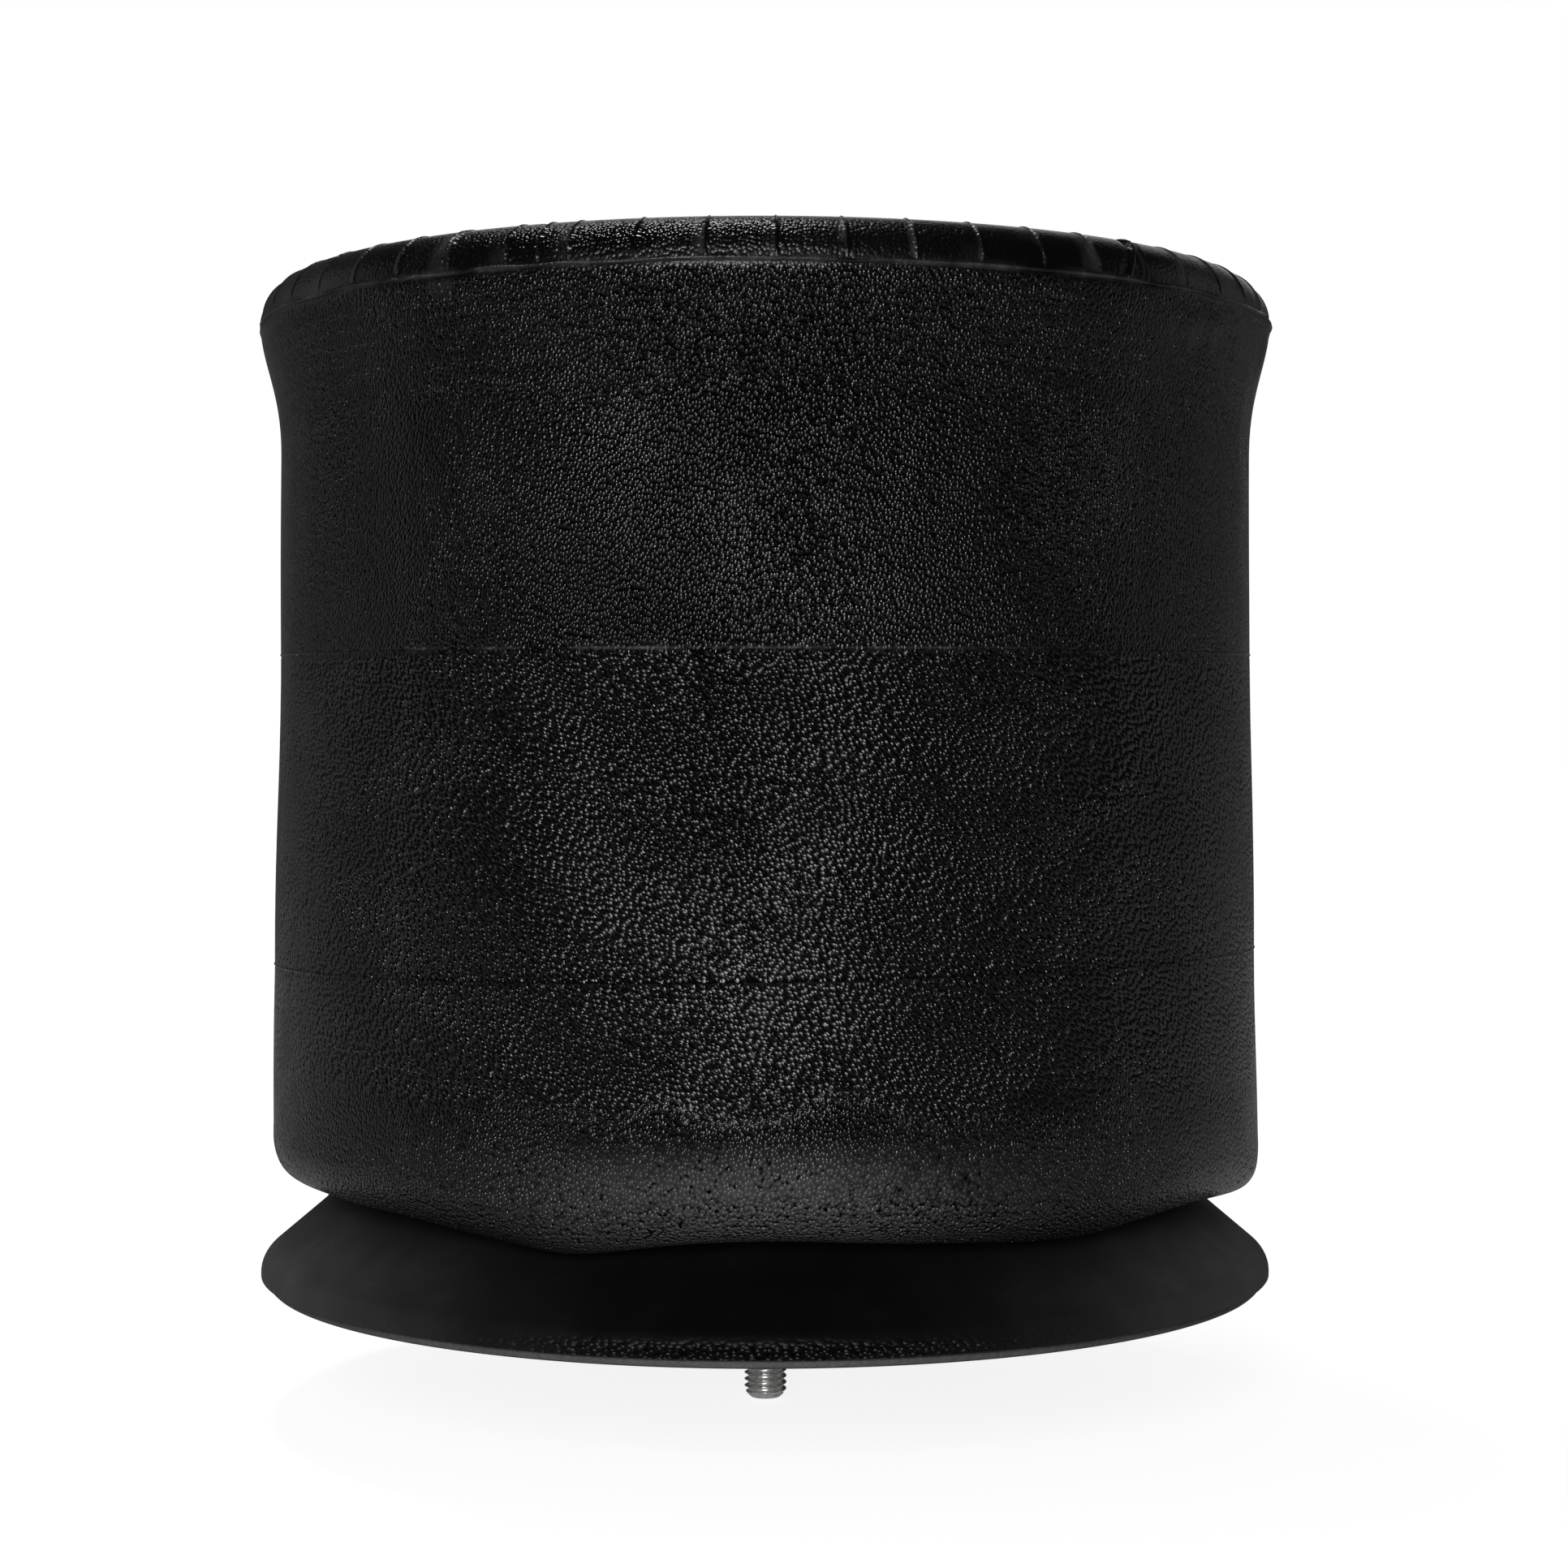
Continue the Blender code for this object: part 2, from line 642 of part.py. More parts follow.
def build_piston(piston):
    """Every piece that stays on the axle with the piston."""
    black_steel = material("black_painted_steel", (0.018, 0.018, 0.019), 0.45)
    zinc = material("zinc_plated_steel", (0.55, 0.55, 0.53), 0.35, 1.0)
    raw_steel = material("raw_steel", (0.42, 0.42, 0.43), 0.4, 1.0)
    buffer_rubber = material("buffer_rubber", (0.03, 0.03, 0.03), 0.75)
    piston_shell(black_steel, piston)
    piston_base_plate(black_steel, piston)
    piston_bolt(zinc, piston)
    piston_nut(zinc, piston)
    washer("nut_washer", NUT_WASHER_RADIUS, NUT_WASHER_THICKNESS, NUT_WASHER_BASE, zinc, piston)
    washer(
        "deck_washer",
        DECK_WASHER_RADIUS,
        DECK_WASHER_THICKNESS,
        DECK_WASHER_BASE,
        zinc,
        piston,
    )
    washer(
        "head_washer",
        HEAD_WASHER_RADIUS,
        HEAD_WASHER_THICKNESS,
        HEAD_WASHER_BASE,
        zinc,
        piston,
    )
    hub_sleeve(raw_steel, piston)
    end_closure(black_steel, piston)
    closure_seal(buffer_rubber, piston)
    bump_stop(buffer_rubber, piston)
    bump_stop_insert(raw_steel, piston)
    wire_radius = LOWER_BEAD_RADIUS + WIRE_COVER + FIT_GAP
    wire_base = LOWER_BEAD_BASE + FIT_GAP
    bead_wire("lower_bead_wire", wire_radius, wire_base, raw_steel, piston)


def build_upper(upper):
    """Every piece that moves with the chassis and the bead plate."""
    plate_steel = material("bead_plate_steel", (0.35, 0.35, 0.34), 0.4, 1.0)
    fastener = material("fastener_steel", (0.5, 0.5, 0.48), 0.35, 1.0)
    bead_plate(plate_steel, upper)
    blind_nut("blind_nut_left", -NUT_SPACING / 2, fastener, upper)
    blind_nut("blind_nut_right", NUT_SPACING / 2, fastener, upper)
    air_port_boss(fastener, upper)
    port_plug(material("plug_brass", (0.7, 0.52, 0.25), 0.35, 1.0), upper)
    port_plug_seal(material("seal_rubber", (0.02, 0.02, 0.02), 0.6), upper)
    wire_radius = upper_bead_face() - WIRE_COVER - FIT_GAP - WIRE_WIDTH
    wire_base = BEAD_TOP - FIT_GAP - WIRE_HEIGHT
    bead_wire("upper_bead_wire", wire_radius, wire_base, fastener, upper)


def main():
    """Clear the scene and build the three bodies of the air spring."""
    for leftover in list(bpy.data.objects):
        bpy.data.objects.remove(leftover)
    build_piston(body_empty("piston_body"))
    build_upper(body_empty("upper_body"))
    bellows(material("bellows_rubber", (0.016, 0.016, 0.017), 0.55), body_empty("bellows_body"))


main()
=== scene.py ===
"""The finished look of a rolling-lobe air suspension spring.

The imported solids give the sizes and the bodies. Each class below builds one sub-assembly out of
surfaces worked out with numpy: a profile of radius and height is carried round the spring's axis,
and small fields over bearing and height move its points. A bearing is an angle round the axis,
0 at the side that faces the camera (-Y) and positive to the camera's right (+X).
"""

import logging
import math
from dataclasses import dataclass, field
from enum import Enum

import bpy
import numpy as np
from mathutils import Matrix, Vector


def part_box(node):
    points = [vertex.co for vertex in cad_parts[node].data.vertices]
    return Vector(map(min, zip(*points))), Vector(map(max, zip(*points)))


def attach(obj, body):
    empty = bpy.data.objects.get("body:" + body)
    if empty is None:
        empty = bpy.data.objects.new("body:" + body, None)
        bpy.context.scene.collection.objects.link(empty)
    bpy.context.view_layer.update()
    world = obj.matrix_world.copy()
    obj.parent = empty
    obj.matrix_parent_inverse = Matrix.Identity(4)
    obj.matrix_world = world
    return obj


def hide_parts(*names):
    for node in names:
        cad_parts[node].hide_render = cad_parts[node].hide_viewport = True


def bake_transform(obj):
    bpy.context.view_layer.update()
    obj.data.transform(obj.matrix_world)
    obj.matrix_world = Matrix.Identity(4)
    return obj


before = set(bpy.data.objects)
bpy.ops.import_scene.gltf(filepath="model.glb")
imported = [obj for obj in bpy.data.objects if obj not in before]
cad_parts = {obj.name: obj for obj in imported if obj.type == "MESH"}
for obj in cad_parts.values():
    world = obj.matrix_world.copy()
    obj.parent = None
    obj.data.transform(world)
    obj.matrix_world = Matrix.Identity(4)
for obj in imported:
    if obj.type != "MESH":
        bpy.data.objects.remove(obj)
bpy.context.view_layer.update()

MM = 0.001
GAP = 0.3 * MM
ROLLING_GAP = 0.4 * MM
SHARP_EDGE = 35.0
SAME_POINT = 1e-7
ON_AXIS = 1e-9
THREAD_CREST = 0.12
THREAD_FLANK = 0.7
CORNER_START = 0.97
CORNER_SLOPE = 1.8
STRAND_DEPTH = 0.35

LOG = logging.getLogger("air_spring")

Array = np.ndarray
Number = np.ndarray | float
Point = tuple[float, float]
Piece = bpy.types.Object
Socket = bpy.types.NodeSocket


# Profiles

def arc(
    centre: Point, radius: float, start: float, end: float, steps: int, tall: float = 1.0
) -> Array:
    """Points of an arc: centre plus radius times the cosine and sine of evenly spaced angles.

    Args:
        centre: Radius and height of the arc's centre, in metres.
        radius: The arc's radius across, in metres.
        start: First angle in degrees, 0 pointing outwards and 90 up.
        end: Last angle in degrees.
        steps: Number of equal steps.
        tall: Height of the arc as a share of its width, for an oval.

    Returns:
        An array of steps + 1 rows of radius and height.
    """
    angle = np.radians(np.linspace(start, end, steps + 1))
    return np.stack(
        [centre[0] + radius * np.cos(angle), centre[1] + tall * radius * np.sin(angle)], axis=1
    )


def run(start: Point, end: Point, steps: int = 1) -> Array:
    """Evenly spaced points of the straight line from start to end, both included."""
    return np.linspace(start, end, steps + 1)


def upright(radius: Number, heights: Array) -> Array:
    """A stretch of profile with a point at each height, all at one radius or at their own."""
    return np.stack([np.broadcast_to(radius, heights.shape), heights], axis=1)


def chain(*parts: Array | Point) -> Array:
    """Join stretches and single points of a profile, leaving out a point that repeats."""
    points = np.concatenate([np.atleast_2d(np.asarray(part, float)) for part in parts])
    step = np.linalg.norm(np.diff(points, axis=0), axis=1)
    return points[np.concatenate([[True], step > SAME_POINT])]


def along(point: Point, angle: float, length: float) -> Point:
    """The point that lies length away from another, in a direction in degrees."""
    turn = math.radians(angle)
    return (point[0] + length * math.cos(turn), point[1] + length * math.sin(turn))


def softened(corners: list[Point], reach: float, steps: int = 3) -> Array:
    """Round the corners of a closed profile.

    Each corner P becomes the curve (1-t)^2 A + 2t(1-t) P + t^2 B, where A and B lie on its two
    sides, reach away from it or half the side's length, whichever is less.

    Args:
        corners: Radius and height of each corner, in order round the profile.
        reach: How far from the corner the rounding starts, in metres.
        steps: Steps of each rounded corner.

    Returns:
        An array of radius and height.
    """
    points = np.asarray(corners, float)
    share = np.linspace(0, 1, steps + 1)[:, None]
    rounded = []
    for before, point, after in zip(np.roll(points, 1, 0), points, np.roll(points, -1, 0)):
        ends = []
        for side in (before - point, after - point):
            length = np.linalg.norm(side)
            ends.append(point + side / length * min(reach, length / 2))
        rounded.append(
            (1 - share) ** 2 * ends[0] + 2 * share * (1 - share) * point + share**2 * ends[1]
        )
    return np.concatenate(rounded)


def profile_normals(profile: Array) -> Array:
    """Unit vectors square to a closed profile: each is the run between a point's neighbours,
    turned a quarter."""
    tangent = np.roll(profile, -1, axis=0) - np.roll(profile, 1, axis=0)
    tangent /= np.linalg.norm(tangent, axis=1)[:, None] + 1e-12
    return np.stack([-tangent[:, 1], tangent[:, 0]], axis=1)


# Fields over bearing and height

def smooth(value: Number, low: float, high: float) -> Number:
    """0 below low, 1 above high, and 3t^2 - 2t^3 in between; low may be the greater."""
    share = np.clip((value - low) / (high - low), 0, 1)
    return share * share * (3 - 2 * share)


def hump(value: Number, middle: Number, width: float) -> Number:
    """A bell of height 1: exp of minus the squared distance from the middle in widths."""
    return np.exp(-(((value - middle) / width) ** 2))


def turn_from(bearing: Number, middle: Number) -> Number:
    """Signed degrees from the bearing called middle, the short way round."""
    return (bearing - middle + 180) % 360 - 180


def hump_round(bearing: Number, middle: float, width: float) -> Number:
    """A hump over the bearing, the short way round the axis."""
    return hump(turn_from(bearing, middle), 0, width)


def ripple(bearing: Number, height: Number, seed: int, waves: int = 9) -> Number:
    """A gentle unevenness from -1 to 1: a sum of sines whose wave numbers round the axis are
    whole, so that it closes on itself.

    Args:
        bearing: Degrees round the axis.
        height: Metres above the seating plane.
        seed: Picks the waves.
        waves: How many sines are summed.

    Returns:
        The mean of the sines, times the root of their number, clipped to -1 to 1.
    """
    draw = np.random.default_rng(seed)
    round_count = draw.integers(2, 15, waves)
    up_count = draw.uniform(-60, 60, waves)
    phase = draw.uniform(0, math.tau, waves)
    total = sum(
        np.sin(np.radians(bearing) * turns + height * rise + shift)
        for turns, rise, shift in zip(round_count, up_count, phase)
    )
    return np.clip(total / math.sqrt(waves), -1, 1)


# Meshes

def even_bearings(count: int) -> Array:
    """Bearings in degrees, evenly spaced once round."""
    return np.arange(count) * 360 / count


def grid_of(bearing: Array, profile: Array) -> tuple[Array, Array, Array]:
    """A piece's bearings as a column, and its radii and heights as rows."""
    return bearing[:, None], profile[None, :, 0], profile[None, :, 1]


def carry_round(profile: Array, bearing: Array, swell: Number = 0, spread: Number = 0) -> Array:
    """Carry a closed profile round the axis.

    A point of radius r and height z at bearing b lies at (r sin b, -r cos b, z), after it has
    been moved by swell along the profile's own normal and by spread away from the axis.

    Args:
        profile: Rows of radius and height.
        bearing: Degrees, one for each column of the grid.
        swell: Metres along the normal, a number or an array of bearings by profile points.
        spread: Metres away from the axis, as swell.

    Returns:
        An array of bearings by profile points by 3.
    """
    shape = (len(bearing), len(profile))
    moved = profile + np.broadcast_to(swell, shape)[..., None] * profile_normals(profile)
    moved[..., 0] += np.broadcast_to(spread, shape)
    turn = np.radians(bearing)[:, None]
    return np.stack(
        [moved[..., 0] * np.sin(turn), -moved[..., 0] * np.cos(turn), moved[..., 1]], axis=2
    )


def shade(mesh: bpy.types.Mesh) -> None:
    """Shade a mesh smooth, but for the edges that bend more than SHARP_EDGE degrees."""
    mesh.shade_smooth()
    mesh.set_sharp_from_angle(angle=math.radians(SHARP_EDGE))


def in_scene(name: str, data: bpy.types.ID) -> Piece:
    """A new object in the scene, at the origin."""
    made = bpy.data.objects.new(name, data)
    bpy.context.scene.collection.objects.link(made)
    return made


def grid_mesh(name: str, points: Array) -> Piece:
    """Make a closed mesh of a grid that wraps both ways.

    Columns whose points lie on the axis are closed with one point, and the faces are turned so
    that the enclosed volume is positive.

    Args:
        name: The piece's name.
        points: An array of bearings by profile points by 3.

    Returns:
        The new object, at the origin.
    """
    turns, steps = points.shape[:2]
    index = np.arange(turns * steps).reshape(turns, steps)
    poles = np.linalg.norm(points[..., :2], axis=2).max(axis=0) < ON_AXIS
    index[:, poles] = index[0, poles]
    near = np.roll(index, -1, axis=0)
    corners = np.stack(
        [index, np.roll(index, -1, axis=1), np.roll(near, -1, axis=1), near], axis=2
    )
    corners = corners[:, ~(poles & np.roll(poles, -1))].reshape(-1, 4)
    used, flat = np.unique(corners, return_inverse=True)
    corners = flat.reshape(-1, 4)
    place = points.reshape(-1, 3)[used]
    first, second, third, fourth = (place[corners[:, side]] for side in range(4))
    volume = np.einsum("ij,ij->", first, np.cross(second, third) + np.cross(third, fourth))
    if volume < 0:
        corners = corners[:, ::-1]
    doubled = corners == np.roll(corners, 1, axis=1)
    loops = corners[~doubled]
    starts = np.cumsum(4 - doubled.sum(axis=1))
    starts = np.concatenate([[0], starts[:-1]])
    mesh = bpy.data.meshes.new(name)
    mesh.vertices.add(len(place))
    mesh.vertices.foreach_set("co", place.astype(np.float32).ravel())
    mesh.loops.add(len(loops))
    mesh.loops.foreach_set("vertex_index", loops.astype(np.int32))
    mesh.polygons.add(len(starts))
    mesh.polygons.foreach_set("loop_start", starts.astype(np.int32))
    mesh.update(calc_edges=True)
    mesh.validate()
    shade(mesh)
    return in_scene(name, mesh)


def turned(
    name: str, profile: Array, count: int = 96, spread: Number = 0, centre: Point = (0, 0)
) -> Piece:
    """Make a mesh of a profile carried round an upright axis.

    Args:
        name: The piece's name.
        profile: Rows of radius and height, a closed loop.
        count: Even columns of the grid.
        spread: Metres away from the axis, a number or an array of bearings by points.
        centre: X and Y of the axis.

    Returns:
        The new object, at the origin.
    """
    points = carry_round(profile, even_bearings(count), spread=spread)
    return grid_mesh(name, points + (*centre, 0))


def paint_field(piece: Piece, name: str, values: Number) -> None:
    """Store one number for each point of a mesh, for its finish to read."""
    attribute = piece.data.attributes.new(name, "FLOAT", "POINT")
    values = np.broadcast_to(np.ravel(values), len(attribute.data))
    attribute.data.foreach_set("value", values.astype(np.float32))


def hexagon_radius(bearing: Number, across_flats: float) -> Number:
    """The radius of a hexagon at each bearing: half the width over the cosine of the angle to
    the nearest flat's middle."""
    off = (bearing + 30) % 60 - 30
    return across_flats / 2 / np.cos(np.radians(off))


def wrench_radius(
    turn: Array, height: Array, across_flats: float, low: float, high: float
) -> Array:
    """The radius of a hexagon whose corners are turned off at its ends.

    It is the lesser of the hexagon's radius and a cone's, which is CORNER_START of half the
    width at the end and grows by CORNER_SLOPE times the distance from the nearer end.

    Args:
        turn: Bearings in degrees, a column.
        height: Metres, a row.
        across_flats: The hexagon's width.
        low: The height of its lower end.
        high: The height of its upper end.

    Returns:
        An array of bearings by heights.
    """
    inset = np.minimum(height - low, high - height)
    cone = CORNER_START * across_flats / 2 + CORNER_SLOPE * np.maximum(inset, 0)
    return np.minimum(hexagon_radius(turn, across_flats), cone)


def thread_depth(turn: Array, height: Array, pitch: float) -> Array:
    """How far a point lies below the crest of a right-hand thread, from 0 to 1.

    The place along the pitch is the height less one pitch a turn; a triangle wave of it is
    clipped at both ends, which gives flat crests and roots.

    Args:
        turn: Bearings in degrees, a column.
        height: Metres, a row.
        pitch: Metres a turn.

    Returns:
        0 on the crest and 1 in the root, an array of bearings by heights.
    """
    place = (height / pitch - turn / 360) % 1
    return np.clip((np.abs(place - 0.5) * 2 - THREAD_CREST) / THREAD_FLANK, 0, 1)


def ring_profile(bore: float, radius: float, low: float, high: float, edge: float) -> Array:
    """The section of a flat ring or a tube, its four edges rounded by edge."""
    return softened([(bore, low), (radius, low), (radius, high), (bore, high)], edge)


def drill(
    piece: Piece, holes: list[tuple[float, Point]], low: float, high: float, sides: int
) -> Piece:
    """Cut round holes through a piece and keep the result as its own mesh.

    Args:
        piece: The piece that is drilled.
        holes: Each hole's radius and the X and Y of its axis.
        low: The height where the holes start.
        high: The height where they end.
        sides: Facets of a hole.

    Returns:
        The piece.
    """
    cutters = []
    for radius, place in holes:
        shape = chain((0, low), (radius, low), (radius, high), (0, high))
        cutters.append(turned("cutter", shape, sides, centre=place))
        modifier = piece.modifiers.new("hole", "BOOLEAN")
        modifier.operation = "DIFFERENCE"
        modifier.object = cutters[-1]
    graph = bpy.context.evaluated_depsgraph_get()
    mesh = bpy.data.meshes.new_from_object(piece.evaluated_get(graph))
    piece.modifiers.clear()
    piece.data = mesh
    mesh.name = piece.name
    shade(mesh)
    for cutter in cutters:
        bpy.data.objects.remove(cutter)
    return piece


# Finishes

class Recipe:
    """The node tree of a material or a world, with short calls to add and link nodes."""

    def __init__(self, owner: bpy.types.Material | bpy.types.World, shader: str) -> None:
        """Start the tree with its shader node and Object coordinates."""
        owner.use_nodes = True
        self.owner = owner
        self.tree = owner.node_tree
        self.shader = self.tree.nodes[shader]
        self.coordinates = self.node("ShaderNodeTexCoord").outputs
        self.place = self.coordinates["Object"]

    def node(self, kind: str, **settings: object) -> bpy.types.Node:
        """Add a node; a setting is one of its properties or, by socket name, an input value."""
        made = self.tree.nodes.new(kind)
        for key, value in settings.items():
            if hasattr(made, key):
                setattr(made, key, value)
            else:
                self.feed(made, key.replace("_", " "), value)
        return made

    def feed(self, node: bpy.types.Node, socket: str | int, value: object) -> None:
        """Set an input, or link an output to it."""
        if isinstance(value, Socket):
            self.tree.links.new(value, node.inputs[socket])
        else:
            node.inputs[socket].default_value = value

    def fed(self, kind: str, values: dict, out: str | int = 0, **settings: object) -> Socket:
        """Add a node, feed its inputs and give one of its outputs.

        Args:
            kind: The node's type.
            values: A value or an output for each input, by name or number.
            out: The wanted output.
            settings: As for node.

        Returns:
            The output's socket.
        """
        made = self.node(kind, **settings)
        for socket, value in values.items():
            self.feed(made, socket, value)
        return made.outputs[out]

    def set(self, socket: str, value: object) -> None:
        """Set or link an input of the shader."""
        self.feed(self.shader, socket, value)

    def noise(self, scale: float, detail: float = 2.0, at: Socket | None = None) -> Socket:
        """Noise of about 1 / scale metres a cell, as its Factor output."""
        at = at or self.place
        return self.fed("ShaderNodeTexNoise", {"Vector": at}, Scale=scale, Detail=detail)

    def stretched(self, turn: tuple, scale: tuple, at: Socket | None = None) -> Socket:
        """Object coordinates turned by degrees, then divided by the scale."""
        values = {
            "Vector": at or self.place,
            "Rotation": tuple(math.radians(angle) for angle in turn),
            "Scale": scale,
        }
        return self.fed("ShaderNodeMapping", values, vector_type="TEXTURE")

    def field(self, name: str) -> Socket:
        """The number that paint_field stored under a name."""
        return self.node("ShaderNodeAttribute", attribute_name=name).outputs["Fac"]

    def math(self, kind: str, *values: object) -> Socket:
        """A Math node's output."""
        return self.fed("ShaderNodeMath", dict(enumerate(values)), operation=kind)

    def remap(self, value: Socket, low: float, high: float, to: Point = (0.0, 1.0)) -> Socket:
        """Map a number from low..high to a range, clamped and eased."""
        values = dict(enumerate((value, low, high, *to)))
        return self.fed("ShaderNodeMapRange", values, interpolation_type="SMOOTHSTEP")

    def mix(self, share: object, first: object, second: object) -> Socket:
        """Mix two numbers."""
        return self.fed("ShaderNodeMix", {0: share, 2: first, 3: second}, data_type="FLOAT")

    def mix_vector(self, share: object, first: object, second: object) -> Socket:
        """Mix two vectors."""
        return self.fed("ShaderNodeMix", {0: share, 4: first, 5: second}, 1, data_type="VECTOR")

    def mix_colour(self, share: object, first: object, second: object) -> Socket:
        """Mix two colours."""
        first, second = (
            (*colour, 1) if isinstance(colour, tuple) else colour for colour in (first, second)
        )
        return self.fed("ShaderNodeMix", {0: share, 6: first, 7: second}, 2, data_type="RGBA")

    def vector(self, kind: str, first: object, second: object = None, out: str | int = 0) -> Socket:
        """A Vector Math node's output; a SCALE takes a number second."""
        values = {0: first}
        if second is not None:
            values["Scale" if kind == "SCALE" else 1] = second
        return self.fed("ShaderNodeVectorMath", values, out, operation=kind)

    def parts(self, at: Socket) -> object:
        """The X, Y and Z outputs of a vector."""
        node = self.node("ShaderNodeSeparateXYZ")
        self.feed(node, 0, at)
        return node.outputs

    def unrolled(self, radius: float) -> tuple[Socket, Socket]:
        """Coordinates unrolled round the axis: bearing x radius, minus the distance, height.

        Args:
            radius: Where a millimetre round the axis stays a millimetre.

        Returns:
            The coordinates, and the bearing in radians.
        """
        x, y, z = self.parts(self.place)
        bearing = self.math("ARCTAN2", x, self.math("MULTIPLY", y, -1.0))
        level = self.vector("MULTIPLY", self.place, (1, 1, 0))
        away = self.vector("LENGTH", level, out="Value")
        round_axis = self.math("MULTIPLY", bearing, radius)
        values = {0: round_axis, 1: self.math("MULTIPLY", away, -1.0), 2: z}
        return self.fed("ShaderNodeCombineXYZ", values), bearing

    def pebbles(self, scale: float, steep: float, at: Socket) -> Socket:
        """How the normal leans on a field of pebbles, one in each Voronoi cell: the way from
        the cell's middle, in cells, x steep x a number from 0.6 to 1.4 of the cell's own."""
        cells = self.node("ShaderNodeTexVoronoi", Scale=scale, Randomness=0.9)
        self.feed(cells, "Vector", at)
        away = self.vector("SUBTRACT", at, cells.outputs["Position"])
        random = self.math("MULTIPLY_ADD", cells.outputs["Color"], 0.8, 0.6)
        return self.vector("SCALE", away, self.math("MULTIPLY", random, scale * steep))

    def unevenness(self, scale: float, spread: float) -> Socket:
        """A random lean, (noise colour - 0.5) x spread."""
        noise = self.fed("ShaderNodeTexNoise", {"Vector": self.place}, 1, Scale=scale, Detail=0.6)
        return self.vector("SCALE", self.vector("SUBTRACT", noise, (0.5, 0.5, 0.5)), spread)

    def leaning(self, lean: Socket) -> Socket:
        """The surface's own normal plus a lean, at unit length."""
        own = self.node("ShaderNodeNewGeometry").outputs["Normal"]
        return self.vector("NORMALIZE", self.vector("ADD", own, lean))

    def bump(
        self, height: Socket, distance: float, strength: float, under: Socket | None = None
    ) -> Socket:
        """A Bump node's normal, on top of another where under is given."""
        values = {"Strength": strength, "Height": height}
        if under is not None:
            values["Normal"] = under
        return self.fed("ShaderNodeBump", values, Distance=distance)


@dataclass(frozen=True)
class Finish:
    """What every finish has: its slot's name and its way to start a recipe."""

    name: str

    def recipe(self) -> Recipe:
        """A new material's recipe."""
        return Recipe(bpy.data.materials.new(self.name), "Principled BSDF")


@dataclass(frozen=True)
class GrainedRubber(Finish):
    """Moulded black rubber: a pebbled grain that fades where the field grain is low, a painted
    highlight where the field pale is high, and a lighter colour where the dust and sheen field is
    high, which is dust in places and painted highlight in others."""

    colour: tuple = (0.0009, 0.0009, 0.001)
    lobe_highlight_colour: tuple = (0.034, 0.034, 0.034)
    dust_and_sheen_colour: tuple = (0.045, 0.045, 0.046)
    cell: float = 0.82 * MM
    stroke: float = 2.6
    steep: float = 1.45
    aslant_turn: float = 38
    upright_turn: float = 12
    upright_tall: float = 1.3
    upright_count: float = 0.85
    upright_steep: float = 1.15
    fine_count: float = 1.5
    fine_spread: float = 0.25
    roughness: float = 0.13
    roughness_drift: float = 0.08
    dull: float = 0.32
    dust_and_sheen_roughness: float = 0.72
    gloss: float = 0.2
    upper_seam: float = 182.4 * MM
    lobe_edge: tuple = (85 * MM, 75 * MM)
    radius: float = 145 * MM

    def lean(self, recipe: Recipe) -> Socket:
        """Pebbles stand upright above the upper seam and by the lobe, aslant between them.

        Args:
            recipe: The material's recipe.

        Returns:
            How the normal leans on the grain.
        """
        flat, bearing = recipe.unrolled(self.radius)
        aslant = recipe.stretched((0, self.aslant_turn, 0), (self.stroke, 1, 1), flat)
        tall = recipe.stretched((0, self.upright_turn, 0), (1, 1, self.upright_tall), flat)
        height = recipe.parts(recipe.place)["Z"]
        level = recipe.math("MULTIPLY_ADD", recipe.noise(30, 2), 0.03, height)
        over = recipe.math("GREATER_THAN", height, self.upper_seam)
        patch = recipe.math("MAXIMUM", over, recipe.remap(level, *self.lobe_edge))
        lean = recipe.mix_vector(
            patch,
            recipe.pebbles(1 / self.cell, self.steep, aslant),
            recipe.pebbles(self.upright_count / self.cell, self.upright_steep * self.steep, tall),
        )
        values = {"Vector": lean, "Angle": bearing}
        turned_round = recipe.fed("ShaderNodeVectorRotate", values, rotation_type="Z_AXIS")
        fine = recipe.unevenness(self.fine_count / self.cell, self.fine_spread)
        drift = recipe.remap(recipe.noise(70, 2), 0.3, 0.6, (0.8, 1.0))
        strength = recipe.math("MULTIPLY", recipe.field("grain"), drift)
        return recipe.vector("SCALE", recipe.vector("ADD", turned_round, fine), strength)

    def build(self) -> bpy.types.Material:
        """Grain, broken dust and painted highlights, and a roughness that rises with both."""
        recipe = self.recipe()
        recipe.set("Normal", recipe.leaning(self.lean(recipe)))
        streak = recipe.noise(420, 3, recipe.stretched((0, 0, 0), (1, 1, 14)))
        cloud = recipe.noise(60, 4)
        streaks = recipe.remap(streak, 0.3, 0.7, (0.45, 1.0))
        broken = recipe.math("MULTIPLY", recipe.remap(cloud, 0.35, 0.7), streaks)
        # Dust in places, painted highlights in others, broken by clouds and streaks.
        dust_and_sheen = recipe.math("MULTIPLY", recipe.field("dust_and_sheen"), broken)
        # Painted highlight: the field pale lightens the lobe, most on its front and right.
        black = recipe.mix_colour(recipe.field("pale"), self.colour, self.lobe_highlight_colour)
        recipe.set("Base Color", recipe.mix_colour(dust_and_sheen, black, self.dust_and_sheen_colour))
        span = (self.roughness, self.roughness + self.roughness_drift)
        grained = recipe.remap(recipe.field("grain"), 0.15, 0.6)
        moulded = recipe.mix(grained, self.dull, recipe.remap(cloud, 0.3, 0.7, span))
        recipe.set("Roughness", recipe.mix(dust_and_sheen, moulded, self.dust_and_sheen_roughness))
        recipe.set("Specular IOR Level", self.gloss)
        return recipe.owner


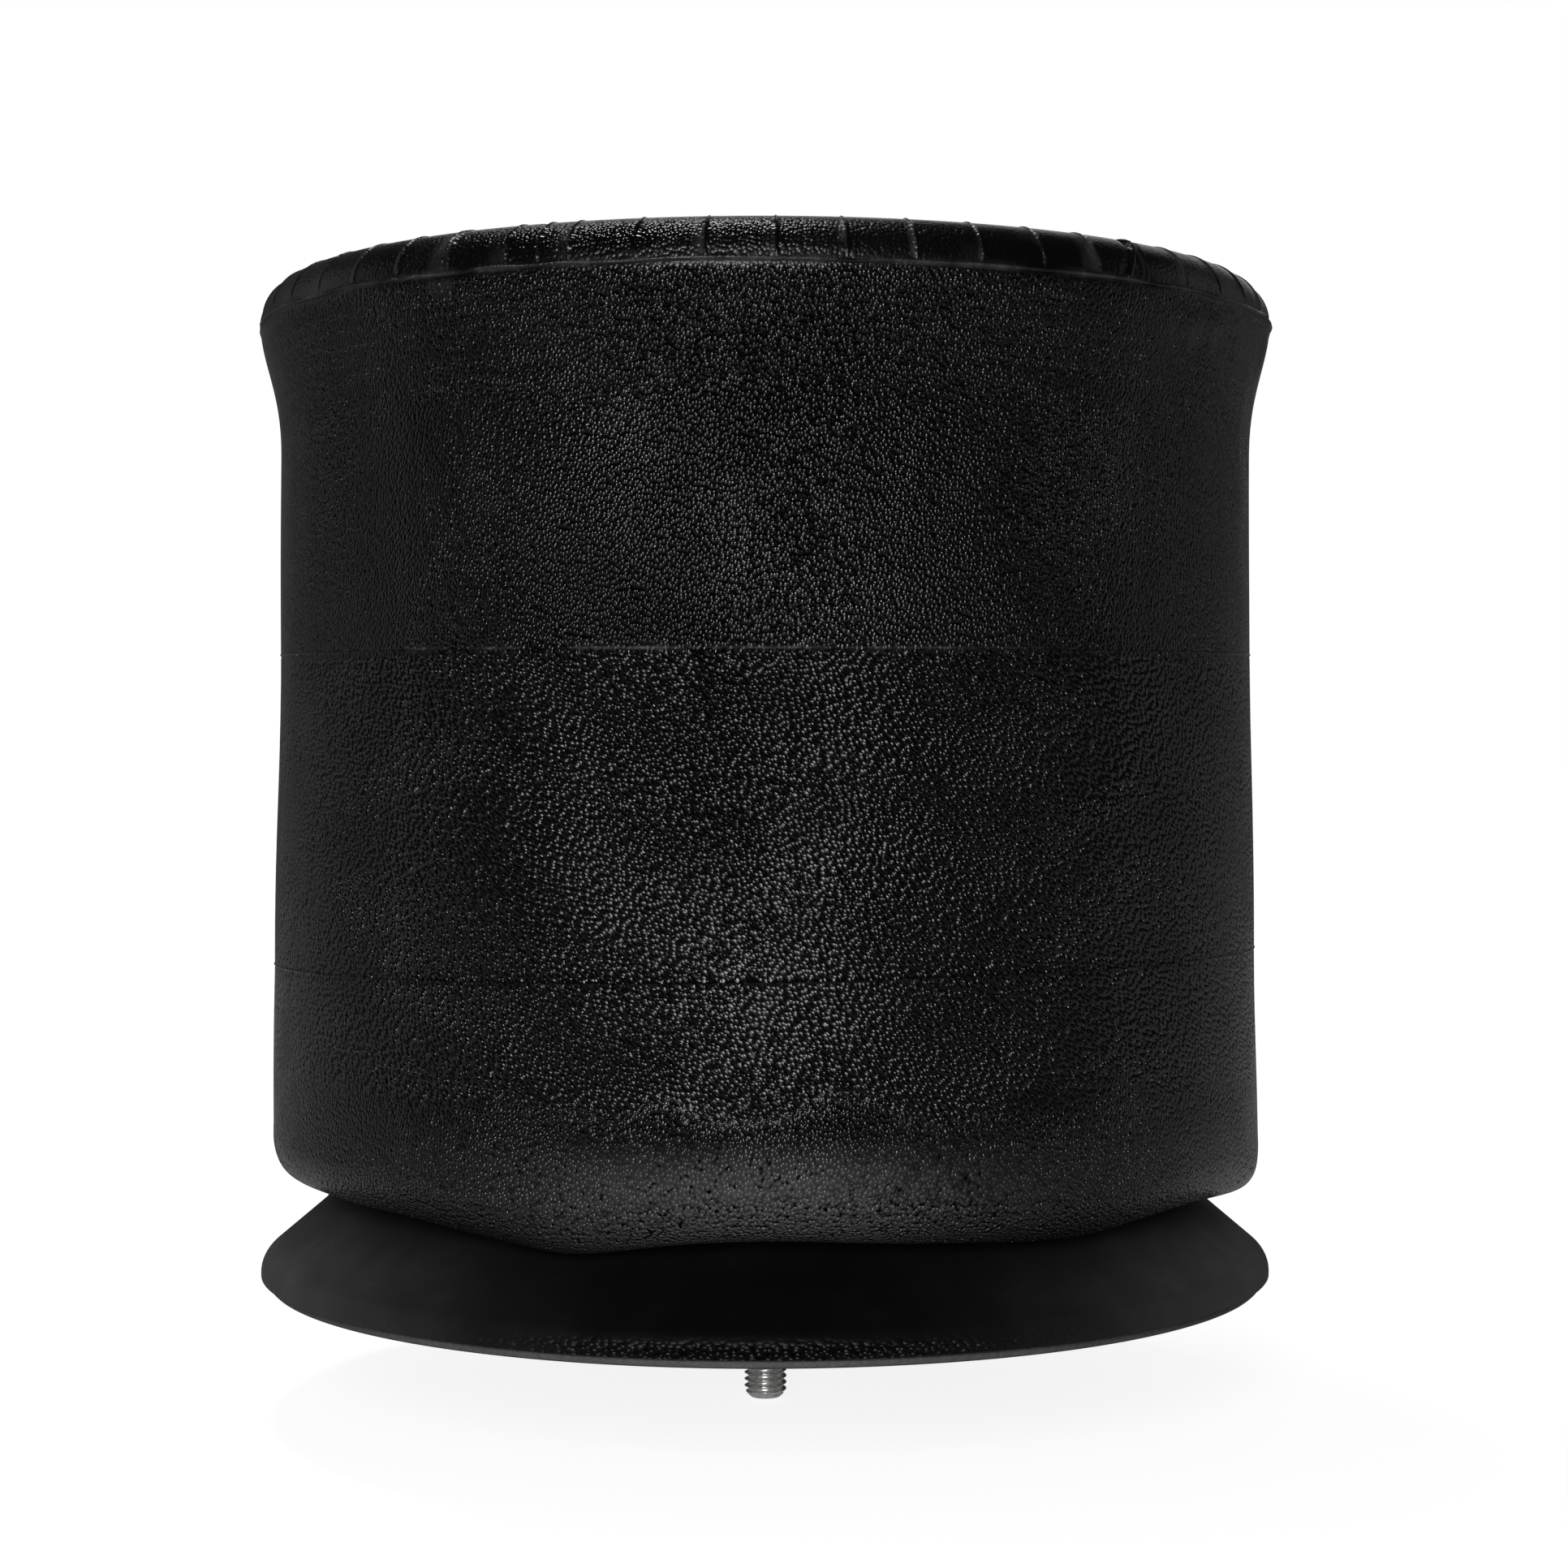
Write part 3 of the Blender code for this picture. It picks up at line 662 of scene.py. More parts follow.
@dataclass(frozen=True)
class SatinPaint(Finish):
    """Black paint over pressed steel: fine orange peel, dust, painted sheen on the piston's skirt,
    and chips in the field rough.
    """

    colour: tuple = (0.0007, 0.0007, 0.0007)
    dust_and_sheen_colour: tuple = (0.09, 0.09, 0.09)
    roughness: float = 0.4
    roughness_drift: float = 0.12
    chipped: float = 0.16
    dust_and_sheen_roughness: float = 0.7
    gloss: float = 0.06
    chip: float = 1.1 * MM
    chip_steep: float = 1.6
    chip_wide: float = 1.8

    def build(self) -> bpy.types.Material:
        """Orange peel is a coarse noise; streaks run round the skirt where its painted sheen is
        high.
        """
        recipe = self.recipe()
        cloud = recipe.noise(55, 4)
        streak = recipe.noise(260, 3, recipe.stretched((0, 0, 0), (1, 1, 0.4)))
        broken = recipe.math("MULTIPLY", recipe.remap(cloud, 0.36, 0.66), streak)
        # Dust on the base plate and the closure; painted sheen at the two ends of the piston's
        # skirt.
        dust_and_sheen = recipe.math("MULTIPLY", recipe.field("dust_and_sheen"), recipe.mix(0.3, 0.8, broken))
        recipe.set("Base Color", recipe.mix_colour(dust_and_sheen, self.colour, self.dust_and_sheen_colour))
        rough = recipe.field("rough")
        span = (self.roughness, self.roughness + self.roughness_drift)
        bare = recipe.mix(rough, recipe.remap(cloud, 0.3, 0.7, span), self.chipped)
        recipe.set("Roughness", recipe.mix(dust_and_sheen, bare, self.dust_and_sheen_roughness))
        wide = recipe.stretched((0, 0, 0), (self.chip_wide, self.chip_wide, 1))
        chips = recipe.pebbles(1 / self.chip, self.chip_steep, wide)
        under = recipe.leaning(recipe.vector("SCALE", chips, rough))
        recipe.set("Normal", recipe.bump(recipe.noise(520, 1.5), 0.05 * MM, 0.5, under))
        recipe.set("Specular IOR Level", self.gloss)
        return recipe.owner


@dataclass(frozen=True)
class PlatedSteel(Finish):
    """Zinc-plated or bare steel: cloudy brightness, fine scratches and a little dirt."""

    colour: tuple
    dull: tuple
    roughness: float
    roughness_drift: float = 0.16
    scratch: float = 900.0

    def build(self) -> bpy.types.Material:
        """Clouds mix the bright and dull colours; scratches are noise drawn out sideways."""
        recipe = self.recipe()
        spangle = recipe.mix(0.4, recipe.noise(120, 5), recipe.noise(700, 2))
        patches = recipe.remap(spangle, 0.4, 0.62)
        recipe.set("Base Color", recipe.mix_colour(patches, self.dull, self.colour))
        recipe.set("Metallic", 1.0)
        lines = recipe.noise(self.scratch, 3, recipe.stretched((0, 0, 25), (12, 1, 1)))
        span = (self.roughness, self.roughness + self.roughness_drift)
        recipe.set("Roughness", recipe.remap(lines, 0.3, 0.7, span))
        recipe.set("Normal", recipe.bump(lines, 0.02 * MM, 0.6))
        return recipe.owner


@dataclass(frozen=True)
class PlainRubber(Finish):
    """Matt black rubber of the seals and the bump stop."""

    colour: tuple
    roughness: float
    roughness_drift: float = 0.1

    def build(self) -> bpy.types.Material:
        """Clouds vary the colour and the roughness, and a fine noise gives the skin."""
        recipe = self.recipe()
        cloud = recipe.noise(90, 4)
        pale = tuple(channel * 2 for channel in self.colour)
        patches = recipe.remap(cloud, 0.4, 0.7)
        recipe.set("Base Color", recipe.mix_colour(patches, self.colour, pale))
        span = (self.roughness - self.roughness_drift, self.roughness + self.roughness_drift)
        recipe.set("Roughness", recipe.remap(cloud, 0.3, 0.7, span))
        recipe.set("Normal", recipe.bump(recipe.noise(1500, 2), 0.05 * MM, 0.6))
        return recipe.owner


class Slot(Enum):
    """The record's material slots."""

    BELLOWS = "bellows_rubber"
    BUFFER = "buffer_rubber"
    SEAL = "seal_rubber"
    PISTON = "piston_paint"
    CLOSURE = "closure_paint"
    BASE = "base_plate_paint"
    PLATE = "bead_plate_steel"
    BOLT = "bolt_steel"
    ZINC = "zinc_steel"
    INNER = "inner_steel"
    BRASS = "plug_brass"


FINISHES = {
    finish.name: finish
    for finish in (
        GrainedRubber("bellows_rubber"),
        PlainRubber("buffer_rubber", (0.012, 0.012, 0.012), 0.7),
        PlainRubber("seal_rubber", (0.01, 0.01, 0.01), 0.55),
        SatinPaint("piston_paint"),
        SatinPaint("closure_paint", (0.012, 0.012, 0.012)),
        SatinPaint("base_plate_paint", (0.012, 0.012, 0.0125), (0.16, 0.16, 0.16), 0.45),
        PlatedSteel("bead_plate_steel", (0.5, 0.5, 0.48), (0.3, 0.3, 0.29), 0.36),
        PlatedSteel("bolt_steel", (0.74, 0.74, 0.73), (0.62, 0.62, 0.61), 0.27),
        PlatedSteel("zinc_steel", (0.62, 0.62, 0.6), (0.42, 0.42, 0.4), 0.28),
        PlatedSteel("inner_steel", (0.45, 0.45, 0.46), (0.3, 0.3, 0.3), 0.35),
        PlatedSteel("plug_brass", (0.78, 0.58, 0.28), (0.5, 0.36, 0.16), 0.25),
    )
}


@dataclass
class Workshop:
    """Gives each piece its finish and its body, and hides the solids that it replaces."""

    materials: dict = field(default_factory=dict)

    def dress(
        self, piece: Piece, slot: Slot, nodes: tuple[str, ...], body: str | None = None
    ) -> None:
        """Give a new piece its finish and body, and let it stand for its nodes.

        Args:
            piece: The finished mesh object.
            slot: Its material slot.
            nodes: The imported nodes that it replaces.
            body: The body that carries it, or None to leave it without one.
        """
        if slot not in self.materials:
            self.materials[slot] = FINISHES[slot.value].build()
        piece.data.materials.clear()
        piece.data.materials.append(self.materials[slot])
        if body:
            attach(piece, body)
        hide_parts(*nodes)
        LOG.info("%s: %d faces, %s", piece.name, len(piece.data.polygons), slot.value)


# The spring's shared sizes

@dataclass(frozen=True)
class SpringSizes:
    """Sizes that more than one sub-assembly needs, in metres."""

    height: float = round(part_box("bead_plate")[1].z, 5)
    deck: float = round(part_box("piston_shell")[1].z, 5)
    rim_radius: float = round(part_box("piston_shell")[1].x, 5)
    plate_radius: float = round(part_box("bead_plate")[1].x, 5)
    plate_wall: float = 3 * MM
    base_wall: float = 2.5 * MM
    shell_wall: float = 3 * MM
    bolt_hole: float = 6.95 * MM

    @property
    def foot(self) -> float:
        """The height of the piston rim's lower edge."""
        return self.base_wall + GAP

    @property
    def plate_underside(self) -> float:
        """The height of the bead plate's underside."""
        return self.height - self.plate_wall


@dataclass(frozen=True)
class PistonSide:
    """The piston's outer side, which the bellows' leg follows at the rolling gap."""

    sizes: SpringSizes
    rim_round: float = 8 * MM
    rim_lip: float = 0.9 * MM
    rim_angle: float = 40
    rim_slant: float = 19.2 * MM
    skirt_angle: float = 48
    skirt_slant: float = 17.1 * MM
    skirt_round: float = 60 * MM
    neck_top_radius: float = 103 * MM
    deck_round: float = 12 * MM

    def rim_arc(self, inset: float, steps: int) -> Array:
        """The rim's rolled edge, moved into the piston by inset."""
        centre = (self.sizes.rim_radius - self.rim_round, self.sizes.foot + self.rim_lip)
        return arc(centre, self.rim_round - inset, 0, 90 - self.rim_angle, steps)

    def rim(self) -> Array:
        """The rolled rim, from its foot to where the first cone starts."""
        return chain((self.sizes.rim_radius, self.sizes.foot), self.rim_arc(0, 14))

    def crease(self) -> Point:
        """Where the rim's cone meets the skirt's steeper one."""
        return along(self.rim()[-1], 180 - self.rim_angle, self.rim_slant)

    def sweep_start(self) -> Point:
        """Where the skirt's cone runs into the sweep."""
        return along(self.crease(), 180 - self.skirt_angle, self.skirt_slant)

    def sweep(self, gap: float, steps: int) -> Array:
        """The sweep up to the neck, moved away from the piston by gap."""
        centre = along(self.sweep_start(), 90 - self.skirt_angle, self.skirt_round)
        return arc(centre, self.skirt_round - gap, 270 - self.skirt_angle, 180, steps)

    def shoulder(self, gap: float, steps: int) -> Array:
        """The round between neck and deck, moved away from the piston by gap."""
        centre = (self.neck_top_radius - self.deck_round, self.sizes.deck - self.deck_round)
        return arc(centre, self.deck_round + gap, 0, 90, steps)


# Bellows

@dataclass
class Bellows:
    """The rubber sleeve: bead, hook, crown, sleeve, rolled lobe, leg and lower bead."""

    shop: Workshop
    sizes: SpringSizes
    side: PistonSide
    wall: float = 6 * MM
    crown_round: float = 12.7 * MM
    crown_drop: float = 1.3 * MM
    flash: float = 0.6 * MM
    flash_half: float = 0.35 * MM
    flare_height: float = 42 * MM
    flare_power: float = 1.5
    sleeve_radius: float = 144.6 * MM
    upper_seam: float = 186.5 * MM
    lower_seam: float = 98.6 * MM
    seam_swell: float = 1.6 * MM
    join: float = 88 * MM
    lobe_bottom: float = 28.5 * MM
    lobe_round: float = 15 * MM
    lobe_inner_round: float = 10 * MM
    lip_depth: float = 17.3 * MM
    bead_width: float = 12.2 * MM
    bead_height: float = 11.2 * MM
    bead_chamfer: float = 1.5 * MM
    lower_bead_radius: float = 76 * MM
    lower_bead_width: float = 11 * MM
    lower_bead_height: float = 9.1 * MM
    bead_ramp: float = 3 * MM
    wire_width: float = 4.4 * MM
    wire_height: float = 4.1 * MM
    wire_cover: float = 3.3 * MM
    longest_run: float = 6 * MM
    sleeve_columns: int = 150
    lobe_columns: int = 300
    leg_columns: int = 144
    rib_count: int = 52
    rib_first: float = 1.4
    rib_depth: float = 0.3 * MM
    rib_lip: float = 0.03 * MM
    rib_half: float = 0.11
    seam_depth: float = 0.26 * MM
    seam_lip: float = 0.1 * MM
    seam_dip: float = 3.3 * MM
    seam_drop: float = 0.4 * MM
    seam_tilt: tuple = (2.45 * MM, 1.55 * MM)
    stray_ribs: tuple = (-22.7, -33.9)
    joint_foot: float = 39.6
    joint_top: float = 43.3
    joint_spur: float = 1.6 * MM
    joint_crease: float = 0.5 * MM
    joint_line: float = 0.22 * MM
    tag_height: float = 0.75 * MM
    tag_bearing: float = -23.4
    notch_bearing: float = -39.3
    notch_depth: float = 1.0 * MM
    tip_bearing: float = -83.0
    tip_reach: float = 0.9 * MM
    tip_droop: float = 0.5 * MM
    flash_worn: tuple = (0.2 * MM, 0.12 * MM)
    flash_crease: float = 0.3 * MM
    hollow: float = 0.28 * MM
    flash_seeds: tuple = (5, 6)
    flash_wander_seeds: tuple = (8, 9)
    wall_seed: int = 11
    wear_seed: int = 21
    sag_waves: tuple = (
        (-88, 14, 2.0),
        (-62, 13, 2.5),
        (-46, 9, 1.5),
        (-22, 8.5, -3.1),
        (1, 12, 1.8),
        (36, 11, -1.9),
        (58, 11, 1.0),
        (80, 9, -1.4),
        (122, 20, 1.8),
        (160, 16, -2.0),
        (-130, 18, -1.6),
    )

    @property
    def face(self) -> float:
        """The radius of the upper bead's outer face."""
        return self.sizes.plate_radius - self.sizes.plate_wall - GAP

    @property
    def shoulder(self) -> Point:
        """Radius and height of the moulded parting line, flash included."""
        radius = self.sizes.plate_radius + GAP + 2 * self.crown_round
        return radius, self.sizes.height - self.crown_drop - self.crown_round

    @property
    def lobe_radius(self) -> float:
        """The radius of the lobe's arcs' centre, from the cone that the tight arc lands on."""
        tilt = math.radians(self.side.skirt_angle)
        start = self.side.sweep_start()
        height = self.lobe_bottom + self.lobe_inner_round
        reach = self.lobe_inner_round + ROLLING_GAP - (height - start[1]) * math.cos(tilt)
        return start[0] + reach / math.sin(tilt)

    def sleeve_width(self, height: Number) -> Number:
        """The sleeve's radius: straight to the lower seam, a slight swell to the lobe, and the
        flare's eased rise, (share^power) smoothstepped, up to the shoulder."""
        radius, top = self.shoulder
        share = np.clip((height - top + self.flare_height) / self.flare_height, 0, 1)
        rise = share**self.flare_power
        flare = (radius - self.flash - self.sleeve_radius) * rise * rise * (3 - 2 * rise)
        swell = self.seam_swell * smooth(height, self.upper_seam, self.lower_seam)
        lobe = self.lobe_radius + self.lobe_round - self.sleeve_radius - self.seam_swell
        lobe = lobe * smooth(height, self.lower_seam, self.lobe_bottom + self.lobe_round)
        return self.sleeve_radius + flare + swell + lobe

    def ribs(self) -> Array:
        """Bearings of the crown's mould lines: an even row, and a few stray ones."""
        even = self.rib_first + 360 / self.rib_count * np.arange(self.rib_count)
        return np.concatenate([even, self.stray_ribs]) % 360

    def rib_bearings(self) -> Array:
        """Bearings of the crown's columns, close together near each rib."""
        offsets = np.array([-0.4, -0.18, -0.08, 0, 0.08, 0.18, 0.4])
        close = (self.ribs()[:, None] + offsets).ravel()
        joint = np.arange(self.joint_foot - 1.6, self.joint_top + 2.2, 0.16)
        torn = (self.tag_bearing + offsets, self.notch_bearing + 5 * offsets)
        columns = np.concatenate([close, joint, *torn, even_bearings(self.sleeve_columns)])
        columns = np.sort(columns % 360)
        apart = np.diff(columns, append=columns[0] + 360)
        return columns[apart > 0.045]

    def sleeve_rows(self) -> Array:
        """Heights of the sleeve's rows from flare to join, close together at the two seams."""
        height = self.shoulder[1]
        near = np.array([8, 3, 1, 0.4, 0.2, 0, -0.2, -0.45, -0.8, -1.3, -3, -8]) * MM
        return np.concatenate([
            height - np.linspace(1.2 * MM, self.flare_height, 26),
            np.linspace(height - self.flare_height - 6 * MM, self.upper_seam + 14 * MM, 6),
            self.upper_seam + near,
            np.linspace(self.upper_seam - 20 * MM, self.lower_seam + 16 * MM, 7),
            self.lower_seam + near[:-1],
            [self.join],
        ])

    def hanging(self) -> tuple[Array, int]:
        """The outside from bead to join and the inside back up to the bead.

        Returns:
            The closed profile, and how many of its points belong to the outside.
        """
        radius, height = self.shoulder
        face, top = self.face, self.sizes.plate_underside - GAP
        hook_radius = (self.sizes.plate_radius + GAP - face) / 2
        hook = (face + hook_radius, self.sizes.height - self.lip_depth - GAP)
        crown, root = (radius - self.crown_round, height), radius - self.flash
        half = self.flash_half
        oval = self.crown_round / (self.crown_round - self.flash)
        rows = self.sleeve_rows()
        outside = chain(
            (face - self.bead_chamfer, top),
            (face, top - self.bead_chamfer),
            arc(hook, hook_radius, 180, 360, 10),
            arc(crown, self.crown_round, 180, 90, 14),
            arc(crown, self.crown_round - self.flash, 90, 3, 16, tall=oval),
            (root + 0.02 * MM, height + 1.3 * half),
            (radius - 0.35 * self.flash, height + 0.8 * half),
            (radius, height),
            (radius - 0.3 * self.flash, height - 0.8 * half),
            (root + 0.05 * MM, height - 1.6 * half),
            upright(self.sleeve_width(rows), rows),
        )
        inner_rows = rows[::3][::-1]
        cover = face - self.wire_cover
        slot, slot_floor = cover - self.wire_width - 2 * GAP, top - self.wire_height - 2 * GAP
        bead = face - self.bead_width
        profile = chain(
            outside,
            (self.sleeve_width(self.join) - self.wall, self.join),
            upright(self.sleeve_width(inner_rows) - self.wall, inner_rows),
            arc(crown, self.crown_round - self.wall, 0, 180, 12),
            arc(hook, hook_radius + self.wall, 360, 180, 10),
            (face - self.wall, top - self.bead_height - self.bead_ramp),
            (bead, top - self.bead_height),
            (bead, top),
            (slot, top),
            (slot, slot_floor),
            (cover, slot_floor),
            (cover, top),
        )
        return profile, len(outside)

    def build_sleeve(self) -> None:
        """The hanging part, from the upper bead to just below the lower seam."""
        profile, outside = self.hanging()
        bearing = self.rib_bearings()
        turn, radius, height = grid_of(bearing, profile)
        outer = (np.arange(len(profile)) < outside)[None] & (radius > self.sizes.plate_radius)
        swell = outer * (
            self.rib_relief(turn, radius, height)
            + self.joint_relief(turn, radius, height)
            + self.flash_relief(turn, radius, height)
            + self.seam_relief(height)
        )
        points = carry_round(profile, bearing, -swell, outer * self.hollows(turn, height))
        points[..., 2] += outer * self.seam_wander(turn, height)
        points[..., 2] += outer * self.flash_wander(turn, radius, height)
        piece = grid_mesh("bellows_sleeve", points)
        self.paint(piece, points)
        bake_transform(piece)
        self.shop.dress(piece, Slot.BELLOWS, ("bellows",))

    def rib_relief(self, turn: Array, radius: Array, height: Array) -> Array:
        """Fine grooves down the crown, each with a low lip on its left."""
        off = turn_from(turn, self.ribs()[None])
        off = np.take_along_axis(off, np.abs(off).argmin(axis=1)[:, None], axis=1)
        lip = self.rib_lip * hump(off, -0.32, 0.13)
        groove = lip - self.rib_depth * hump(off, 0, self.rib_half)
        over = smooth(height, self.shoulder[1] + 0.5 * MM, self.shoulder[1] + 2 * MM)
        inner = smooth(radius, self.sizes.plate_radius + 1 * MM, self.sizes.plate_radius + 4 * MM)
        return groove * over * inner

    def joint_relief(self, turn: Array, radius: Array, height: Array) -> Array:
        """The mould's joint on the crown, where rubber was squeezed out.

        A flap slopes up from the left to the joint's line, highest at the crown's top, and
        drops there into a crease; two fine lines follow it, and a small tag stands on the left.

        Args:
            turn: Bearings in degrees, a column.
            radius: Metres, a row.
            height: Metres, a row.

        Returns:
            Metres outwards, an array of bearings by profile points.
        """
        rise = height - self.shoulder[1]
        upper = (rise > 0.4 * MM) & (radius > self.sizes.plate_radius)
        rise = np.degrees(np.arctan2(rise, radius - self.shoulder[0] + self.crown_round))
        share = np.clip(rise / 80, 0, 1)
        off = turn_from(turn, self.joint_foot + (self.joint_top - self.joint_foot) * share)
        flap = smooth(off, -1.9, -0.1) ** 2 * smooth(off, 0.16, 0.0)
        relief = self.joint_spur * flap * (0.16 + 0.84 * hump(rise, 82, 22))
        relief = relief - self.joint_crease * hump(off, 0.32, 0.16)
        relief = relief + self.joint_line * (hump(off, 0.85, 0.16) + hump(off, 1.5, 0.14))
        tag = hump_round(turn, self.tag_bearing, 0.28) * hump(rise, 80, 10)
        return upper * (relief + self.tag_height * tag)

    def flash_relief(self, turn: Array, radius: Array, height: Array) -> Array:
        """The flash stands out less in places, and juts out in a worn tip on the left."""
        outside = radius > self.shoulder[0] - 3 * MM
        near = hump(height, self.shoulder[1], 0.5 * MM) * outside
        crease = hump(height, self.shoulder[1] - 1.2 * MM, 0.4 * MM) * outside
        slow, quick = (
            ripple(turn * quicker, 0 * turn, seed)
            for quicker, seed in zip((1, 7), self.flash_seeds)
        )
        deep, fine = self.flash_worn
        worn = deep * (slow - 1) + fine * quick
        tip = self.tip_reach * hump_round(turn, self.tip_bearing, 5)
        return near * (worn + tip) - self.flash_crease * crease

    def flash_wander(self, turn: Array, radius: Array, height: Array) -> Array:
        """The parting line wanders up and down, more on the left, and has a sharp notch."""
        near = hump(height, self.shoulder[1], 2.2 * MM) * (radius > self.shoulder[0] - 4 * MM)
        slow, quick = (
            ripple(turn * quicker, 0 * turn, seed)
            for quicker, seed in zip((3, 9), self.flash_wander_seeds)
        )
        left = 0.14 + 0.26 * hump_round(turn, -40, 45)
        wave = left * slow + 0.3 * hump_round(turn, 55, 5) * quick
        notch = np.clip(1 - np.abs(turn_from(turn, self.notch_bearing)) / 1.3, 0, 1)
        droop = self.tip_droop * hump_round(turn, self.tip_bearing, 6)
        return near * (wave * MM - self.notch_depth * notch - droop)

    def seam_relief(self, height: Array) -> Array:
        """Two narrow grooves round the sleeve, each with a low lip below it."""
        return sum(
            self.seam_lip * hump(height, seam - 0.7 * MM, 0.35 * MM)
            - self.seam_depth * hump(height, seam, 0.22 * MM)
            for seam in (self.upper_seam, self.lower_seam)
        )

    def seam_wander(self, turn: Array, height: Array) -> Array:
        """The seams dip and tilt a little as they go round; the rows near them go along."""
        angle = np.radians(turn)
        across, back = self.seam_tilt
        upper = -self.seam_dip * ((1 + np.cos(angle)) / 2) ** 2
        lower = across * np.sin(angle) - back * (1 - np.cos(angle)) - self.seam_drop
        near_upper = hump(height, self.upper_seam, 12 * MM)
        above_join = smooth(height, self.join, self.join + 7 * MM)
        near_lower = hump(height, self.lower_seam, 6 * MM) * above_join
        return upper * near_upper + lower * near_lower

    def hollows(self, turn: Array, height: Array) -> Array:
        """The wall's slow hollows and swells, none at the shoulder."""
        away = smooth(height, self.shoulder[1] - 4 * MM, self.shoulder[1] - 40 * MM)
        return away * self.hollow * ripple(turn, height, self.wall_seed)

    def lobe_profile(self) -> tuple[Array, int]:
        """The rolled lobe's closed profile and the number of its outside points."""
        start = self.lobe_bottom + self.lobe_round
        rows = np.linspace(self.join, start, 14)
        wall = upright(self.sleeve_width(rows), rows)
        centre = (self.lobe_radius, start)
        tight = (self.lobe_radius, self.lobe_bottom + self.lobe_inner_round)
        land = -90 - self.side.skirt_angle
        leg, inner_leg = (
            self.side.sweep(ROLLING_GAP + depth, 2)[0] for depth in (0, self.wall)
        )
        outside = chain(
            wall,
            arc(centre, self.lobe_round, 0, -90, 22),
            arc(tight, self.lobe_inner_round, -90, land, 12),
            run(along(tight, land, self.lobe_inner_round), leg, 3),
        )
        inside = chain(
            inner_leg,
            arc(tight, self.lobe_inner_round - self.wall, land, -90, 6),
            arc(centre, self.lobe_round - self.wall, -90, 0, 10),
            (wall - (self.wall, 0))[::-1],
        )
        return chain(outside, inside), len(outside)

    def build_lobe(self) -> None:
        """The rolled-under lobe, from the join round to the piston's skirt: pinched at both
        ends of the side that faces the camera, and sagging in waves."""
        profile, outside = self.lobe_profile()
        bearing = even_bearings(self.lobe_columns)
        turn, radius, height = grid_of(bearing, profile)
        outer = (np.arange(len(profile)) < outside)[None]
        past = radius - self.lobe_radius
        spread = outer * self.hollows(turn, height) * smooth(past, -6 * MM, 4 * MM)
        corner = np.degrees(np.arctan2(self.lobe_bottom + self.lobe_round - height, past))
        pinch = -1.3 * hump_round(turn, -88, 17) - 2.0 * hump_round(turn, 82, 15)
        swell = outer * pinch * MM * hump(corner, 42, 24)
        points = carry_round(profile, bearing, -swell, spread)
        low = smooth(height, self.lobe_bottom + 42 * MM, self.lobe_bottom + 6 * MM)
        sag = sum(rise * hump_round(turn, middle, width) for middle, width, rise in self.sag_waves)
        points[..., 2] += low * smooth(past, -8 * MM, 3 * MM) * sag * MM
        piece = grid_mesh("bellows_lobe_fold", points)
        self.paint(piece, points)
        self.shop.dress(piece, Slot.BELLOWS, ("bellows",), "bellows_lobe")

    def build_leg(self) -> None:
        """The leg that lies on the piston, and the lower bead on its deck."""
        base = self.sizes.deck + ROLLING_GAP
        bead, end = self.lower_bead_radius, self.lower_bead_radius + self.lower_bead_width
        slot = bead + self.wire_cover
        slot_end = slot + self.wire_width + 2 * GAP
        slot_top = base + self.wire_height + 2 * GAP
        profile = chain(
            self.side.sweep(ROLLING_GAP, 16),
            self.side.shoulder(ROLLING_GAP, 10),
            (slot_end, base),
            (slot_end, slot_top),
            (slot, slot_top),
            (slot, base),
            (bead, base),
            (bead, base + self.lower_bead_height),
            (end, base + self.lower_bead_height),
            (end + self.bead_ramp, base + self.wall),
            self.side.shoulder(ROLLING_GAP + self.wall, 10)[::-1],
            self.side.sweep(ROLLING_GAP + self.wall, 16)[::-1],
        )
        split = []
        for start, stop in zip(profile, np.roll(profile, -1, axis=0)):
            steps = max(1, math.ceil(np.linalg.norm(stop - start) / self.longest_run))
            split.append(run(start, stop, steps)[:-1])
        points = carry_round(np.concatenate(split), even_bearings(self.leg_columns))
        piece = grid_mesh("bellows_leg", points)
        self.paint(piece, points)
        foot = self.side.sweep_start()[1]
        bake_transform(piece)
        self.shop.dress(piece, Slot.BELLOWS, ("bellows",))

